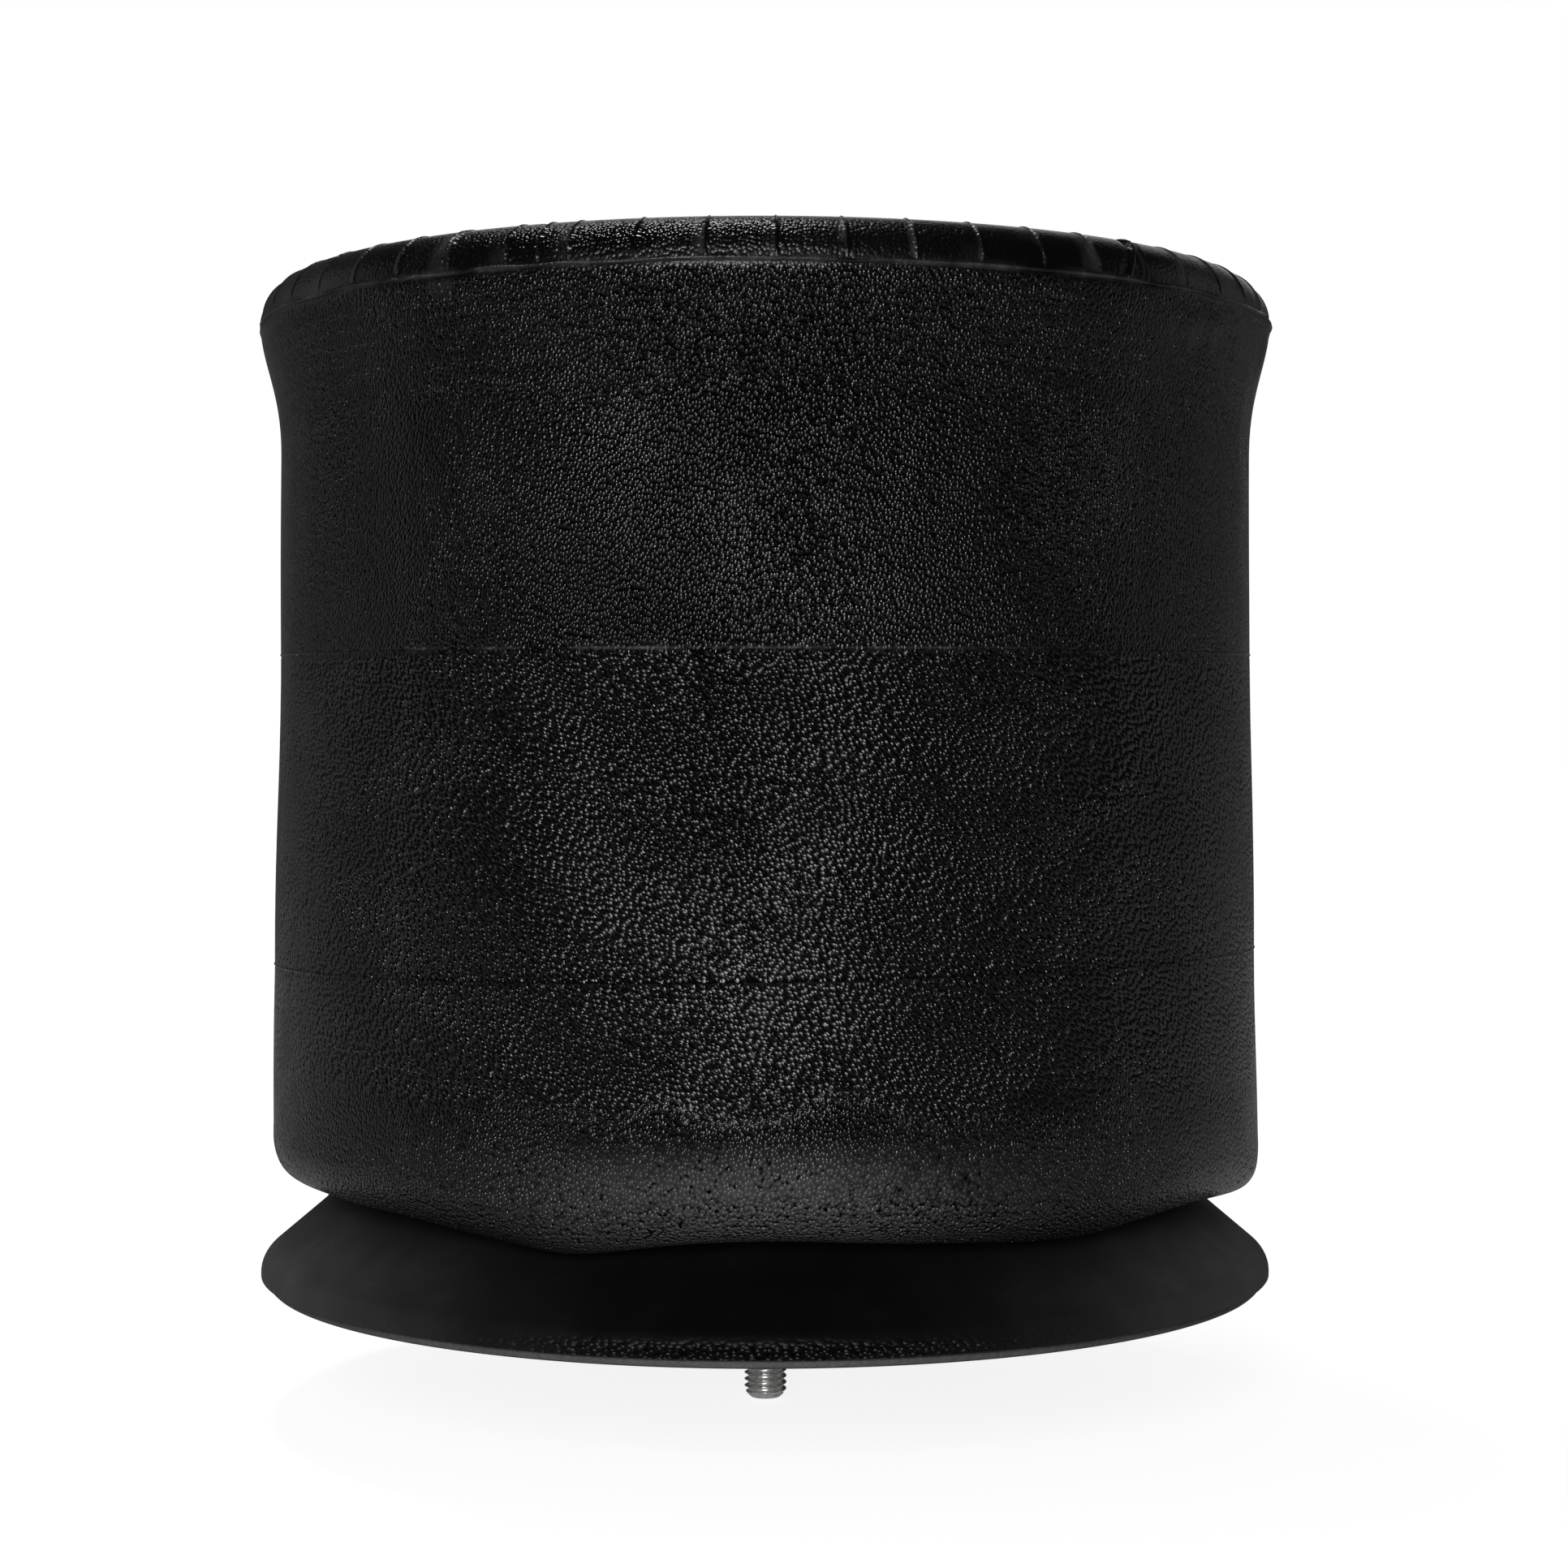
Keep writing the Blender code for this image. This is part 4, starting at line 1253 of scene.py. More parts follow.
    def dust_and_sheen_map(self, turn: Array, z: Array) -> Array:
        """Where dust lies and where highlights are painted, from 0 to 1.

        Painted highlights run along the upper seam's lip on the front and along the rib lips. The
        crown is lighter away from its front, and the sleeve on its left and right sides. Dust lies
        on the parting line and in smudges on the flare and the sleeve, most of them on the right.

        Args:
            turn: Each point's bearing.
            z: Each point's height.

        Returns:
            An array of the same shape.
        """
        shoulder = self.shoulder[1]
        rib = turn_from(turn[..., None], self.ribs() - 0.3)
        lip = hump(np.abs(rib).min(axis=-1), 0, 0.2)
        above = smooth(z, shoulder + 0.5 * MM, shoulder + 1.5 * MM)
        below = smooth(z, shoulder - 0.6 * MM, shoulder - 2 * MM)
        ridge = hump(z, shoulder - 0.1 * MM, 0.55 * MM)
        right, left = turn_from(turn, 66), turn_from(turn, -66)
        seam = np.full_like(z, self.upper_seam)
        lit_seam = seam + self.seam_wander(turn, seam) + 0.45 * MM
        flare = hump(z, shoulder - 9 * MM, 6 * MM) * hump(right, 0, 14)
        scuff = hump(z, shoulder - 4 * MM, 2 * MM) * hump_round(turn, -33.4, 1.6)
        streaks = hump(right, 6, 12) * smooth(z, 0.2, 0.25)
        dust_and_sheen = (
            0.008
            # Painted highlight along the upper seam's lip, on the front only.
            + 1.2 * hump(z, lit_seam, 0.35 * MM) * hump(turn, -8, 38)
            # Lighter away from the crown's front, and a painted highlight along each rib lip.
            + above * (0.5 * smooth(right, -24, -2) + 0.6 * smooth(left, 24, 2) + 0.6 * lip)
            + ridge * (1.1 + 0.5 * smooth(right, -30, -10))
            + below * (flare + 0.8 * scuff + 0.3 * streaks)
            # Lighter on the sleeve's left and right sides.
            + 0.35 * hump(left, -6, 14) * smooth(z, 0.19, 0.17)
            + 0.3 * hump(right, 6, 10) * hump(z, 0.13, 0.06)
        )
        return np.clip(dust_and_sheen, 0, 1)

    def paint(self, piece: Piece, points: Array) -> None:
        """Store where the grain is strong, where dust and painted highlights lie, and how pale the
        lobe's painted highlight makes it.

        Args:
            piece: The piece that gets the fields of grain, of dust and sheen, and of paleness.
            points: Its grid.
        """
        x, y, z = np.moveaxis(points, 2, 0)
        turn = np.degrees(np.arctan2(x, -y))
        shoulder = self.shoulder[1]
        band = smooth(z, shoulder - 0.2 * MM, shoulder - 3.5 * MM)
        crown = 0.85 * hump(z, shoulder + 7 * MM, 4.5 * MM) * hump_round(turn, -10, 26)
        wear = 0.8 + 0.2 * ripple(turn, z, self.wear_seed)
        low_lobe = smooth(z, 60 * MM, 44 * MM)
        grain = np.maximum(band, 0.4 * crown + 0.2) * wear * (1 + 0.5 * low_lobe)
        # Painted highlight on the lobe, strongest on its front and right, over a slight paleness
        # all round.
        pale = low_lobe * (0.04 + hump(turn, 1, 21) + 0.6 * hump(turn, 62, 12))
        paint_field(piece, "grain", np.clip(grain, 0, 1.6))
        paint_field(piece, "dust_and_sheen", self.dust_and_sheen_map(turn, z))
        paint_field(piece, "pale", np.clip(pale, 0, 1))

    def build(self) -> None:
        """Build the three stretches of rubber."""
        self.build_sleeve()
        self.build_lobe()
        self.build_leg()


# Piston

@dataclass
class Piston:
    """The pressed shell and its base plate."""

    shop: Workshop
    sizes: SpringSizes
    side: PistonSide
    body: str = "piston"
    rim_overhang: float = 2.2 * MM
    dish_radius: float = 19.5 * MM
    dish_depth: float = 11 * MM
    channel_radius: float = 94.5 * MM
    channel_width: float = 27 * MM
    channel_rise: float = 7 * MM
    pressed_ramp: float = 6 * MM
    pressed_round: float = 1.4 * MM
    drain_radius: float = 4.5 * MM
    drain_count: int = 4
    skirt_top: float = 36 * MM
    skirt_hollow: float = 0.12 * MM
    skirt_seed: int = 31
    sheen_bearings: tuple = (-82, 82)

    def build_shell(self) -> None:
        """The rolled rim, two cones, swept neck and flat deck, a sheet of one wall."""
        side, wall, deck = self.side, self.sizes.shell_wall, self.sizes.deck
        crease, start, rim = side.crease(), side.sweep_start(), side.rim()
        outer = chain(
            rim,
            run(rim[-1], crease, 8),
            run(crease, start, 6),
            side.sweep(0, 16),
            side.shoulder(0, 10),
            (self.sizes.bolt_hole, deck),
        )
        inner = chain(
            (self.sizes.rim_radius - wall, self.sizes.foot),
            side.rim_arc(wall, 8),
            along(crease, 270 - (side.rim_angle + side.skirt_angle) / 2, wall),
            side.sweep(-wall, 12),
            side.shoulder(-wall, 8),
            (self.sizes.bolt_hole, deck - wall),
        )
        profile = chain(outer, inner[::-1])
        bearing = even_bearings(288)
        turn, _, height = grid_of(bearing, profile)
        skirt = (np.arange(len(profile)) < len(outer))[None] & (height < self.skirt_top)
        swell = skirt * self.skirt_hollow * ripple(turn, height, self.skirt_seed)
        piece = grid_mesh("piston_shell_surface", carry_round(profile, bearing, -swell))
        # Painted sheen: the skirt is lighter towards its left and right ends, low down.
        foot = smooth(height, 34 * MM, 10 * MM)
        dust_and_sheen = 0.005 + sum(hump_round(turn, middle, 34) for middle in self.sheen_bearings) * foot
        paint_field(piece, "dust_and_sheen", np.clip(dust_and_sheen, 0, 1))
        rough = hump(height, 4.5 * MM, 2.2 * MM) * hump_round(turn, 0, 26)
        paint_field(piece, "rough", 0.9 * rough)
        self.shop.dress(piece, Slot.PISTON, ("piston_shell",), self.body)

    def build_base_plate(self) -> None:
        """The pressed floor: dish, seat ring, raised channel and outer ring, with drain holes."""
        start = self.channel_radius - self.channel_width / 2
        end = self.channel_radius + self.channel_width / 2
        ramp, wall = self.pressed_ramp, self.sizes.base_wall
        radius = self.sizes.rim_radius - self.rim_overhang
        underside = [
            (self.sizes.bolt_hole, self.dish_depth),
            (self.dish_radius, self.dish_depth),
            (self.dish_radius + ramp, 0),
            (start - ramp, 0),
            (start, self.channel_rise),
            (end, self.channel_rise),
            (end + ramp, 0),
            (radius, 0),
        ]
        topside = [(r, z + wall) for r, z in underside]
        topside[2] = (underside[2][0] + wall * 0.45, wall)
        profile = softened(underside + topside[::-1], self.pressed_round)
        drains = [
            (self.drain_radius, along((0, 0), bearing, self.channel_radius))
            for bearing in 360 * (np.arange(self.drain_count) + 0.5) / self.drain_count
        ]
        low, high = self.channel_rise - 2 * MM, self.channel_rise + wall + 2 * MM
        plate = drill(turned("base_plate_surface", profile, 240), drains, low, high, 32)
        place = np.empty(len(plate.data.vertices) * 3)
        plate.data.vertices.foreach_get("co", place)
        away = np.linalg.norm(place.reshape(-1, 3)[:, :2], axis=1)
        paint_field(plate, "dust_and_sheen", 0.1 + 0.3 * smooth(away, radius - 2 * MM, radius - 0.6 * MM))
        paint_field(plate, "rough", 0.25 * smooth(away, radius - 4 * MM, radius - 1 * MM))
        self.shop.dress(plate, Slot.BASE, ("piston_base_plate",), self.body)

    def build(self) -> None:
        """Build every piece of the piston."""
        self.build_shell()
        self.build_base_plate()


# Turned parts that several sub-assemblies need

def build_ring(
    shop: Workshop,
    node: str,
    name: str,
    slot: Slot,
    bore: float,
    edge: float,
    body: str = "piston",
    centre: Point = (0, 0),
    count: int = 120,
) -> None:
    """Make a plain ring or tube as high and as wide as its solid, and dress it.

    Args:
        shop: Dresses the piece.
        node: The solid that it replaces.
        name: The piece's name.
        slot: Its material slot.
        bore: The radius of its hole.
        edge: How much its edges are rounded.
        body: The body that carries it.
        centre: X and Y of its axis.
        count: Columns of its grid.
    """
    low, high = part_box(node)
    profile = ring_profile(bore, high.x, low.z, high.z, edge)
    shop.dress(turned(name, profile, count, centre=centre), slot, (node,), body)


def wire_bundle(low: Point, high: Point, strands: int) -> Array:
    """The section of a bead's hoop of wires laid side by side.

    Each side of the rectangle is a row of half rounds: the point lies inside the side by
    STRAND_DEPTH of a strand's width times one minus the root of 1 - u^2, u from -1 to 1.

    Args:
        low: Least radius and height.
        high: Greatest radius and height.
        strands: Wires on each side.

    Returns:
        A closed profile of radius and height.
    """
    share = np.linspace(0, 1, strands * 6 + 1)[:-1]
    across = (share * strands) % 1 * 2 - 1
    dip = STRAND_DEPTH * (1 - np.sqrt(np.clip(1 - across**2, 0, 1))) / strands
    sides = np.array([[0, 0], [1, 0], [1, 1], [0, 1]], float)
    parts = []
    for start, end in zip(sides, np.roll(sides, -1, axis=0)):
        inwards = np.array([start[1] - end[1], end[0] - start[0]])
        parts.append(start + share[:, None] * (end - start) + dip[:, None] * inwards)
    return np.array(low) + np.concatenate(parts) * (np.array(high) - np.array(low))


def build_hoop(shop: Workshop, node: str, name: str, width: float, body: str) -> None:
    """Make a bead's hoop of wires in the place of its solid, and dress it."""
    low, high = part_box(node)
    section = wire_bundle((high.x - width, low.z), (high.x, high.z), 4)
    shop.dress(turned(name, section, 144), Slot.INNER, (node,), body)


# Bolt, nut and what they clamp

@dataclass
class Fastening:
    """The long bolt, its nut and washers, and the tube that keeps plate and deck apart."""

    shop: Workshop
    sizes: SpringSizes
    body: str = "piston"
    columns: int = 96
    bolt_radius: float = 6.35 * MM
    pitch: float = 1.954 * MM
    depth: float = 1.15 * MM
    tip_height: float = 2.8 * MM
    tip_inset: float = 2.1 * MM
    tip_power: float = 1.7
    thread_top: float = 30 * MM
    thread_fade: float = 3 * MM
    across_flats: float = 19.05 * MM
    head_height: float = 8 * MM
    washer_face: float = 0.35 * MM
    nut_clearance: float = 0.16 * MM

    def thread_radius(self, turn: Array, height: Array) -> Array:
        """The bolt's threaded surface: the crest radius less the thread's depth, which fades
        out at the upper end, and no more than the rounded tip's radius."""
        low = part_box("piston_bolt")[0].z
        fade = smooth(height, self.thread_top, self.thread_top - self.thread_fade)
        cut_radius = self.bolt_radius - self.depth * fade * thread_depth(turn, height, self.pitch)
        share = np.clip(1 - (height - low) / self.tip_height, 0, 1)
        return np.minimum(cut_radius, self.bolt_radius - self.tip_inset * share**self.tip_power)

    def build_bolt(self) -> None:
        """The long bolt: rounded threaded tip, plain shank, washer face and hexagon head."""
        low, high = (corner.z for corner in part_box("piston_bolt"))
        bolt, half = self.bolt_radius, self.across_flats / 2
        head = high - self.head_height
        face = head + self.washer_face
        rows = np.arange(low + 0.1 * MM, self.thread_top, self.pitch / 12)
        sides = face + np.array([0, 0.3, 0.7, 1.2, 3.4, 5.6, 6.4, 6.9, 7.3, 7.65]) * MM
        profile = chain(
            (0, low),
            (bolt - self.tip_inset - 1.2 * MM, low),
            upright(bolt, rows),
            (bolt - 0.1 * MM, self.thread_top + 2 * MM),
            (bolt - 0.1 * MM, head - 0.6 * MM),
            (bolt + 0.5 * MM, head),
            (half * 0.95, head),
            (half * 0.95, face),
            upright(half, sides),
            (half * 0.78, high),
            (half * 0.74, high - 0.35 * MM),
            (0, high - 0.35 * MM),
        )
        turn, radius, height = grid_of(even_bearings(self.columns), profile)
        threaded = (radius == bolt) & (height < self.thread_top)
        hexed = (radius == half) & (height > head)
        real = np.where(threaded, self.thread_radius(turn, height), radius)
        wrench = wrench_radius(turn, height, self.across_flats, face, high)
        real = np.where(hexed, wrench, real)
        piece = turned("threaded_bolt", profile, self.columns, real - radius)
        self.shop.dress(piece, Slot.BOLT, ("piston_bolt",), self.body)

    def build_nut(self) -> None:
        """The nut in the base plate's dish, its thread one clearance outside the bolt's."""
        low, high = (corner.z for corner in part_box("piston_nut"))
        bore, half = self.bolt_radius + 0.3 * MM, self.across_flats / 2
        rise = np.array([0, 0.3, 0.7, 1.2, 2.2]) * MM
        rows = np.arange(high - 0.6 * MM, low + 0.6 * MM, -self.pitch / 12)
        profile = chain(
            (bore + 0.9 * MM, low),
            (half * 0.9, low),
            upright(half, np.concatenate([low + rise, high - rise[::-1]])),
            (half * 0.9, high),
            (bore + 0.9 * MM, high),
            upright(bore, rows),
        )
        turn, radius, height = grid_of(even_bearings(self.columns), profile)
        wrench = wrench_radius(turn, height, self.across_flats, low, high)
        inner = self.thread_radius(turn, height) + self.nut_clearance
        real = np.where(radius == half, wrench, np.where(radius == bore, inner, radius))
        piece = turned("clamping_nut", profile, self.columns, real - radius)
        self.shop.dress(piece, Slot.ZINC, ("piston_nut",), self.body)

    def build(self) -> None:
        """Build the bolt, the nut, the three washers and the tube."""
        self.build_bolt()
        self.build_nut()
        for node, name, slot, edge in (
            ("nut_washer", "plain_washer_under_plate", Slot.ZINC, 0.35 * MM),
            ("deck_washer", "plain_washer_under_deck", Slot.ZINC, 0.5 * MM),
            ("head_washer", "plain_washer_under_head", Slot.ZINC, 0.4 * MM),
            ("hub_sleeve", "spacer_tube", Slot.INNER, 0.6 * MM),
        ):
            build_ring(self.shop, node, name, slot, self.sizes.bolt_hole, edge)


# Lower closure and bump stop

@dataclass
class LowerClosure:
    """The stepped disc that clamps the lower bead, its seal, and the bead's wires."""

    shop: Workshop
    sizes: SpringSizes
    body: str = "piston"
    hub_radius: float = 75.7 * MM
    wall: float = 4 * MM
    lip_wall: float = 3 * MM
    ramp: float = 6 * MM
    edge: float = 0.9 * MM
    seal_width: float = 3.5 * MM
    seal_height: float = 2 * MM
    wire_width: float = 4.4 * MM
    dust_and_sheen: float = 0.2
    rough: float = 0.15

    def build_disc(self) -> None:
        """The disc: hub on the deck with the seal's groove, ramp, and lip over the bead."""
        low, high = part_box("end_closure")
        hole, base, lip = self.sizes.bolt_hole, low.z, high.z - self.lip_wall
        groove = hole + self.seal_width
        groove_end = groove + self.seal_width + 2 * GAP
        groove_top = base + self.seal_height + GAP
        inner = self.hub_radius - self.wall
        corners = [
            (hole, base),
            (groove, base),
            (groove, groove_top),
            (groove_end, groove_top),
            (groove_end, base),
            (self.hub_radius, base),
            (self.hub_radius, lip),
            (high.x, lip),
            (high.x, high.z),
            (inner, high.z),
            (inner - self.ramp, base + self.wall),
            (hole, base + self.wall),
        ]
        disc = turned("end_closure_disc", softened(corners, self.edge, 4), 180)
        paint_field(disc, "dust_and_sheen", self.dust_and_sheen)
        paint_field(disc, "rough", self.rough)
        self.shop.dress(disc, Slot.CLOSURE, ("end_closure",), self.body)

    def build(self) -> None:
        """Build the disc, the seal and the hoop of wires."""
        self.build_disc()
        bore = self.sizes.bolt_hole + self.seal_width + GAP
        build_ring(self.shop, "closure_seal", "bolt_seal_ring", Slot.SEAL, bore, 0.7 * MM)
        build_hoop(self.shop, "lower_bead_wire", "lower_wire_hoop", self.wire_width, self.body)


@dataclass
class BumpStop:
    """The waisted rubber buffer and the steel disc moulded into its foot."""

    shop: Workshop
    sizes: SpringSizes
    body: str = "piston"
    columns: int = 120
    flange: float = 7 * MM
    waist_radius: float = 33 * MM
    fillet: float = 10 * MM
    top_radius: float = 30 * MM
    top_round: float = 8 * MM
    well_radius: float = 16.5 * MM
    insert_radius: float = 40 * MM
    insert_wall: float = 3 * MM
    mould_line: float = 0.3 * MM
    mould_half: float = 1.2 * MM

    def build_buffer(self) -> None:
        """Foot, fillet, tapered waist and rounded top, with a mould line at the waist."""
        low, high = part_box("bump_stop")
        base, top = low.z, high.z
        flange_top = base + self.flange
        recess, recess_top = self.insert_radius + GAP, base + self.insert_wall + GAP
        fillet = (self.waist_radius + self.fillet, flange_top + self.fillet)
        waist = arc(fillet, self.fillet, 270, 180, 12)
        crown = (self.top_radius - self.top_round, top - self.top_round)
        dome = arc(crown, self.top_round, 0, 90, 12)
        profile = chain(
            (recess, base),
            (high.x - 1 * MM, base),
            (high.x, base + 1 * MM),
            (high.x, flange_top - 1.5 * MM),
            (high.x - 0.5 * MM, flange_top - 0.5 * MM),
            (high.x - 1.5 * MM, flange_top),
            waist,
            run(waist[-1], dome[0], 24),
            dome,
            (self.well_radius + 1 * MM, top),
            (self.well_radius, top - 1 * MM),
            (self.well_radius, recess_top),
            (recess, recess_top),
        )
        radius, height = profile[None, :, 0], profile[None, :, 1]
        line = hump(height, (waist[-1][1] + dome[0][1]) / 2, self.mould_half)
        spread = self.mould_line * line * (radius > self.well_radius + 4 * MM)
        piece = turned("rubber_bump_stop", profile, self.columns, spread)
        self.shop.dress(piece, Slot.BUFFER, ("bump_stop",), self.body)

    def build(self) -> None:
        """Build the buffer and its insert."""
        self.build_buffer()
        node, hole = "bump_stop_insert", self.sizes.bolt_hole
        build_ring(self.shop, node, "bump_stop_disc", Slot.INNER, hole, 0.5 * MM)


# Bead plate

@dataclass
class BeadPlate:
    """The top plate with its rolled rim, blind nuts and air port."""

    shop: Workshop
    sizes: SpringSizes
    body: str = "upper"
    plate_round: float = 4.5 * MM
    lip_depth: float = 17.3 * MM
    lip_oval: float = 0.53
    nut_spacing: float = 157.48 * MM
    nut_hole: float = 9.0 * MM
    port_offset: float = 44.5 * MM
    port_hole: float = 10.0 * MM
    nut_radius: float = 12 * MM
    nut_shank: float = 8.7 * MM
    nut_bore: float = 4.8 * MM
    nut_floor: float = 2.5 * MM
    nut_pitch: float = 1.5875 * MM
    nut_thread: float = 0.82 * MM
    boss_shank: float = 9.7 * MM
    port_bore: float = 6.9 * MM
    port_pitch: float = 1.411 * MM
    port_thread: float = 0.5 * MM
    plug_thread: float = 0.45 * MM
    socket: float = 6.4 * MM
    socket_depth: float = 4 * MM
    chamfer: float = 0.8 * MM
    small_chamfer: float = 0.3 * MM
    wire_width: float = 4.4 * MM

    def build_plate(self) -> None:
        """The flat plate and the lip that is rolled down round the bead."""
        radius, height, wall = self.sizes.plate_radius, self.sizes.height, self.sizes.plate_wall
        end = height - self.lip_depth + self.chamfer
        centre = (radius - self.plate_round, height - self.plate_round)
        profile = chain(
            (0, height),
            arc(centre, self.plate_round, 90, 0, 12),
            (radius, end),
            arc((radius - wall / 2, end), wall / 2, 0, -180, 8, tall=self.lip_oval),
            (radius - wall, height - self.plate_round),
            arc(centre, self.plate_round - wall, 0, 90, 6),
            (0, height - wall),
        )
        holes = [
            (self.nut_hole, (-self.nut_spacing / 2, 0)),
            (self.nut_hole, (self.nut_spacing / 2, 0)),
            (self.port_hole, (0, self.port_offset)),
        ]
        plate = turned("bead_plate_surface", profile, 240)
        plate = drill(plate, holes, height - wall - 2 * MM, height + 2 * MM, 48)
        self.shop.dress(plate, Slot.PLATE, ("bead_plate",), self.body)

    def collar(self, radius: float, shank: float, low: float, high: float) -> Array:
        """The outside of a nut or boss: a body below the plate and a shank up through it."""
        under = self.sizes.plate_underside - GAP
        chamfer, small = self.chamfer, self.small_chamfer
        return chain(
            (radius - chamfer, low),
            (radius, low + chamfer),
            (radius, under - small),
            (radius - small, under),
            (shank, under),
            (shank, high - small),
            (shank - small, high),
        )

    def build_blind_nut(self, side: str, across: float) -> None:
        """A closed nut: body below the plate, shank through it, threaded blind bore.

        Args:
            side: The word that its names end with.
            across: X of the nut's axis.
        """
        node = f"blind_nut_{side}"
        low, high = (corner.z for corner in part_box(node))
        bore, floor, mouth = self.nut_bore, low + self.nut_floor, high - 0.7 * MM
        profile = chain(
            (0, low),
            self.collar(self.nut_radius, self.nut_shank, low, high),
            (bore + 0.6 * MM, high),
            upright(bore, np.arange(mouth, floor, -self.nut_pitch / 12)),
            (bore - 0.9 * MM, floor),
            (0, floor - 0.8 * MM),
        )
        turn, radius, height = grid_of(even_bearings(72), profile)
        crest = self.nut_thread * (1 - thread_depth(turn, height, self.nut_pitch))
        spread = -crest * (radius == bore) * smooth(height, high, mouth - 0.8 * MM)
        piece = turned(f"blind_nut_threaded_{side}", profile, 72, spread, (across, 0))
        self.shop.dress(piece, Slot.ZINC, (node,), self.body)

    def build_boss(self) -> None:
        """The welded boss of the air port, with the plug's thread in its bore."""
        low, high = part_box("air_port_boss")
        bore = self.port_bore
        rows = np.arange(high.z - 0.5 * MM, low.z + 0.4 * MM, -self.port_pitch / 8)
        profile = chain(
            (bore + 0.4 * MM, low.z),
            self.collar(high.x, self.boss_shank, low.z, high.z),
            (bore + 0.5 * MM, high.z),
            upright(bore, rows),
        )
        turn, radius, height = grid_of(even_bearings(72), profile)
        root = self.port_thread * thread_depth(turn, height, self.port_pitch)
        centre = (0, self.port_offset)
        piece = turned("port_boss_threaded", profile, 72, root * (radius == bore), centre)
        self.shop.dress(piece, Slot.ZINC, ("air_port_boss",), self.body)

    def build_plug(self) -> None:
        """The brass plug: threaded shank, chamfered head and hexagon socket."""
        low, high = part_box("port_plug")
        seal_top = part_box("port_plug_seal")[1].z + GAP
        shank, edge = self.port_bore - GAP, self.socket / 2
        rows = np.arange(low.z + 0.9 * MM, seal_top - 1.4 * MM, self.port_pitch / 8)
        deep = high.z - self.socket_depth
        profile = chain(
            (0, low.z),
            (shank - 1.2 * MM, low.z),
            upright(shank, rows),
            (shank - 0.2 * MM, seal_top),
            (high.x - 0.2 * MM, seal_top),
            (high.x, seal_top + 0.2 * MM),
            (high.x, high.z - 0.7 * MM),
            (high.x - 0.7 * MM, high.z),
            (edge + 0.9 * MM, high.z),
            upright(edge, np.linspace(high.z - 0.5 * MM, deep, 5)),
            (0, deep - 0.7 * MM),
        )
        turn, radius, height = grid_of(even_bearings(96), profile)
        root = self.plug_thread * thread_depth(turn, height, self.port_pitch)
        socket = hexagon_radius(turn, self.socket) - edge
        spread = np.where(radius == shank, -root, np.where(radius == edge, socket, 0))
        piece = turned("air_port_plug", profile, 96, spread, (0, self.port_offset))
        self.shop.dress(piece, Slot.BRASS, ("port_plug",), self.body)

    def build(self) -> None:
        """Build every piece of the bead plate."""
        self.build_plate()
        self.build_blind_nut("left", -self.nut_spacing / 2)
        self.build_blind_nut("right", self.nut_spacing / 2)
        self.build_boss()
        self.build_plug()
        seal = ("port_plug_seal", "port_seal_ring", Slot.SEAL, self.port_bore, 0.3 * MM)
        build_ring(self.shop, *seal, self.body, (0, self.port_offset), 96)
        build_hoop(self.shop, "upper_bead_wire", "upper_wire_hoop", self.wire_width, self.body)


# Studio

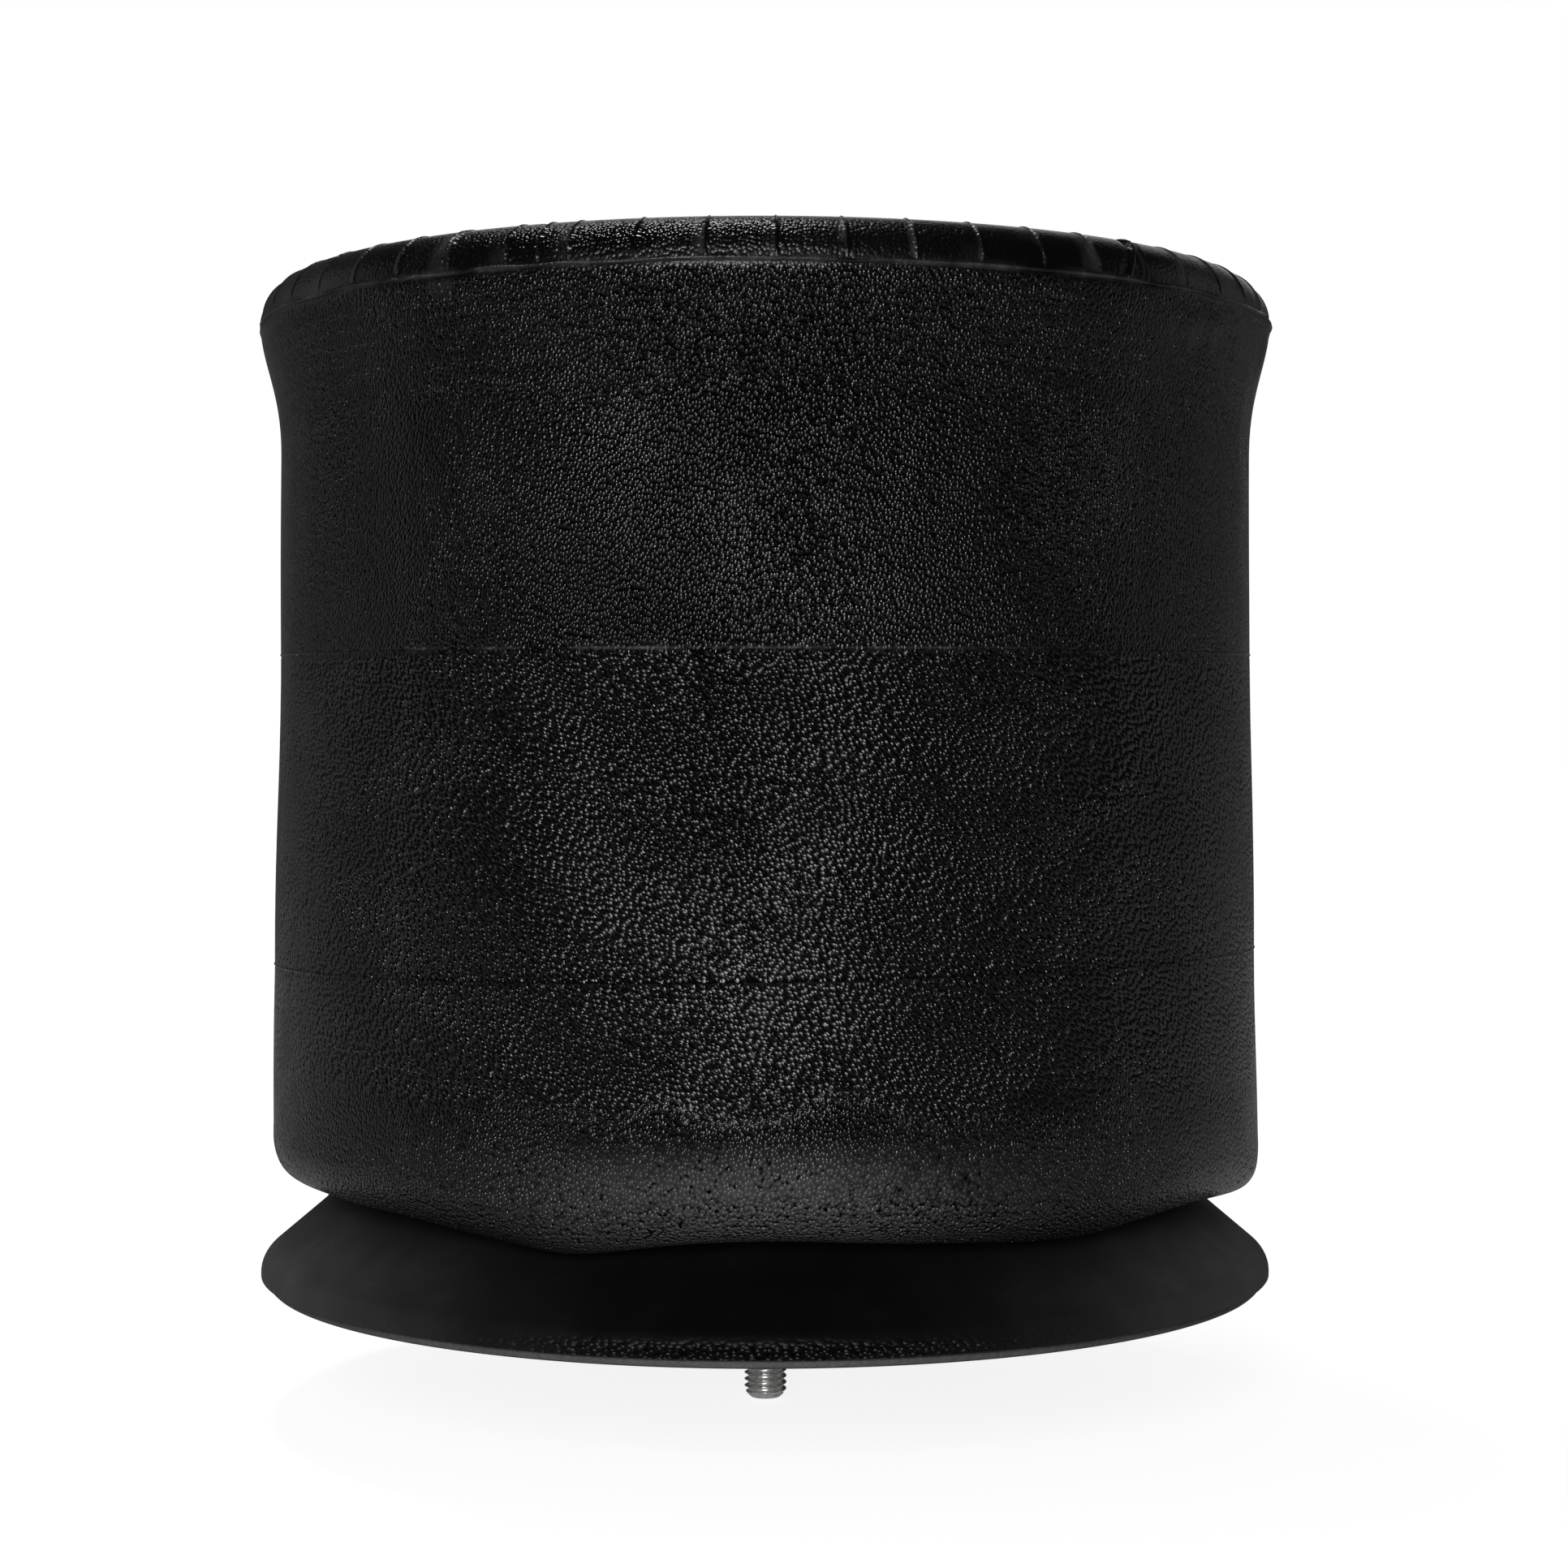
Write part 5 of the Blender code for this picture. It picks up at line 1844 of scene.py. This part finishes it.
@dataclass
class Studio:
    """Pale floor and backdrop, soft lights, and the camera at the photograph's place.

    A softbox is its name, place, the point that it faces, width and height in metres, and watts.
    """

    camera_place: tuple = (5.6 * MM, -0.921, 157.7 * MM)
    focal: float = 69.87
    sensor: float = 36.0
    shift: float = -0.0223
    near_clip: float = 0.01
    floor_height: float = -0.0386
    floor_radius: float = 30.0
    floor_corners: int = 64
    floor_colour: tuple = (0.25, 0.25, 0.25, 1)
    floor_glow: tuple = (0.87, 1.0)
    floor_mirrored: tuple = (0.26, 0.1)
    fill: float = 0.13
    backdrop_way: tuple = (0.0, 0.97, -0.24)
    mirrored_room: tuple = ((0.0, 0.01), (0.6, 0.04), (0.94, 0.12), (0.99, 1.0))
    softboxes: tuple = (
        ("key", (-0.15, -1.38, 0.42), (0, 0, 0.15), (0.45, 0.5), 20),
        ("low", (-0.04, -0.62, -0.015), (0, -0.15, 0.05), (0.4, 0.08), 1.0),
        ("left", (-1.6, 0.6, 0.5), (0, 0, 0.15), (1.1, 1.3), 1.6),
        ("right", (1.6, 0.6, 0.5), (0, 0, 0.15), (1.1, 1.3), 1.4),
        ("top", (-0.22, 0.3, 1.7), (0, 0, 0.15), (0.4, 0.3), 10),
        ("back", (0.2, 1.8, 1.1), (0, 0, 0.15), (1.4, 1.0), 4.5),
    )

    def seen_directly(self, recipe: Recipe, mirrored: Socket) -> Socket:
        """How white the floor or backdrop is to a ray.

        Args:
            recipe: The tree that gets the nodes.
            mirrored: What glossy and transmission rays see, from 0 to 1.

        Returns:
            1 for camera rays, mirrored for glossy and transmission rays, 0 for the rest.
        """
        path = recipe.node("ShaderNodeLightPath").outputs
        bounced = recipe.math("MAXIMUM", path["Is Glossy Ray"], path["Is Transmission Ray"])
        bounced = recipe.math("MULTIPLY", bounced, mirrored)
        return recipe.math("MAXIMUM", path["Is Camera Ray"], bounced)

    def build_floor(self) -> None:
        """A pale floor that keeps the shadow."""
        turn = np.arange(self.floor_corners) * math.tau / self.floor_corners
        rim = np.stack([np.cos(turn), np.sin(turn), 0 * turn], axis=1) * self.floor_radius
        mesh = bpy.data.meshes.new("floor")
        rim += (0, 0, self.floor_height)
        mesh.from_pydata(rim.tolist(), [], [range(self.floor_corners)])
        mesh.materials.append(self.floor_finish())
        in_scene("floor", mesh)

    def build_world(self) -> None:
        """White to the camera. Mirrors see white behind the spring and a dark room elsewhere,
        by the ray's direction x backdrop_way, and the rubber gets a plain fill."""
        recipe = Recipe(bpy.data.worlds.new("studio"), "Background")
        bpy.context.scene.world = recipe.owner
        way = recipe.coordinates["Generated"]
        facing = recipe.vector("DOT_PRODUCT", way, self.backdrop_way, "Value")
        behind = recipe.node("ShaderNodeValToRGB")
        recipe.feed(behind, "Fac", facing)
        stops = behind.color_ramp.elements
        for index, (at, level) in enumerate(self.mirrored_room):
            stop = stops[index] if index < 2 else stops.new(at)
            stop.position = at
            stop.color = (level, level, level, 1)
        diffuse = recipe.node("ShaderNodeLightPath").outputs["Is Diffuse Ray"]
        seen = self.seen_directly(recipe, behind.outputs["Color"])
        recipe.set("Color", (1, 1, 1, 1))
        recipe.set("Strength", recipe.mix(diffuse, seen, self.fill))

    def floor_finish(self) -> bpy.types.Material:
        """Pale grey that lights up to white where it is seen directly, fully so away from the
        spring and less so round its foot, where the shadow falls. It is clear from below."""
        recipe = Recipe(bpy.data.materials.new("floor_white"), "Principled BSDF")
        recipe.set("Base Color", self.floor_colour)
        recipe.set("Roughness", 0.9)
        recipe.set("Specular IOR Level", 0.0)
        distance = recipe.vector("LENGTH", recipe.place, out="Value")
        glow = recipe.remap(distance, 0.25, 1.1, self.floor_glow)
        mirrored = recipe.remap(distance, 0.28, 0.55, self.floor_mirrored)
        recipe.set("Emission Color", (1, 1, 1, 1))
        seen = self.seen_directly(recipe, mirrored)
        recipe.set("Emission Strength", recipe.math("MULTIPLY", glow, seen))
        below = recipe.node("ShaderNodeNewGeometry").outputs["Backfacing"]
        clear = recipe.node("ShaderNodeBsdfTransparent").outputs[0]
        values = {0: below, 1: recipe.shader.outputs[0], 2: clear}
        sided = recipe.fed("ShaderNodeMixShader", values)
        recipe.feed(recipe.tree.nodes["Material Output"], "Surface", sided)
        return recipe.owner

    def softbox(self, name: str, place: tuple, aim: tuple, size: Point, power: float) -> None:
        """A rectangular area light.

        Args:
            name: The lamp's name.
            place: Where it stands.
            aim: The point that it faces.
            size: Its width and height in metres.
            power: Watts.
        """
        data = bpy.data.lights.new(name, "AREA")
        data.shape = "RECTANGLE"
        data.size, data.size_y = size
        data.energy = power
        lamp = in_scene(name, data)
        lamp.location = place
        x, y, z = np.array(aim) - np.array(place)
        tilt = math.acos(-z / math.hypot(x, y, z))
        lamp.rotation_euler = (tilt, 0, math.atan2(y, x) - math.pi / 2)

    def build_camera(self) -> None:
        """A level camera; the shift sets the horizon's height in the frame."""
        data = bpy.data.cameras.new("camera")
        data.lens, data.sensor_width = self.focal, self.sensor
        data.sensor_fit = "HORIZONTAL"
        data.shift_y = self.shift
        data.clip_start = self.near_clip
        camera = in_scene("camera", data)
        camera.location = self.camera_place
        camera.rotation_euler = (math.pi / 2, 0, 0)
        bpy.context.scene.camera = camera

    def build(self) -> None:
        """Set up room, lights, camera and the plain view transform."""
        self.build_floor()
        self.build_world()
        for softbox in self.softboxes:
            self.softbox(*softbox)
        self.build_camera()
        bpy.context.scene.view_settings.view_transform = "Standard"


def main() -> None:
    """Build the spring's sub-assemblies in order, then the studio."""
    logging.basicConfig(level=logging.INFO, format="%(name)s: %(message)s")
    shop = Workshop()
    sizes = SpringSizes()
    side = PistonSide(sizes)
    for assembly in (
        Bellows(shop, sizes, side),
        Piston(shop, sizes, side),
        Fastening(shop, sizes),
        LowerClosure(shop, sizes),
        BumpStop(shop, sizes),
        BeadPlate(shop, sizes),
    ):
        assembly.build()
        LOG.info("%s is built", type(assembly).__name__)
    Studio().build()


if __name__ == "__main__":
    main()
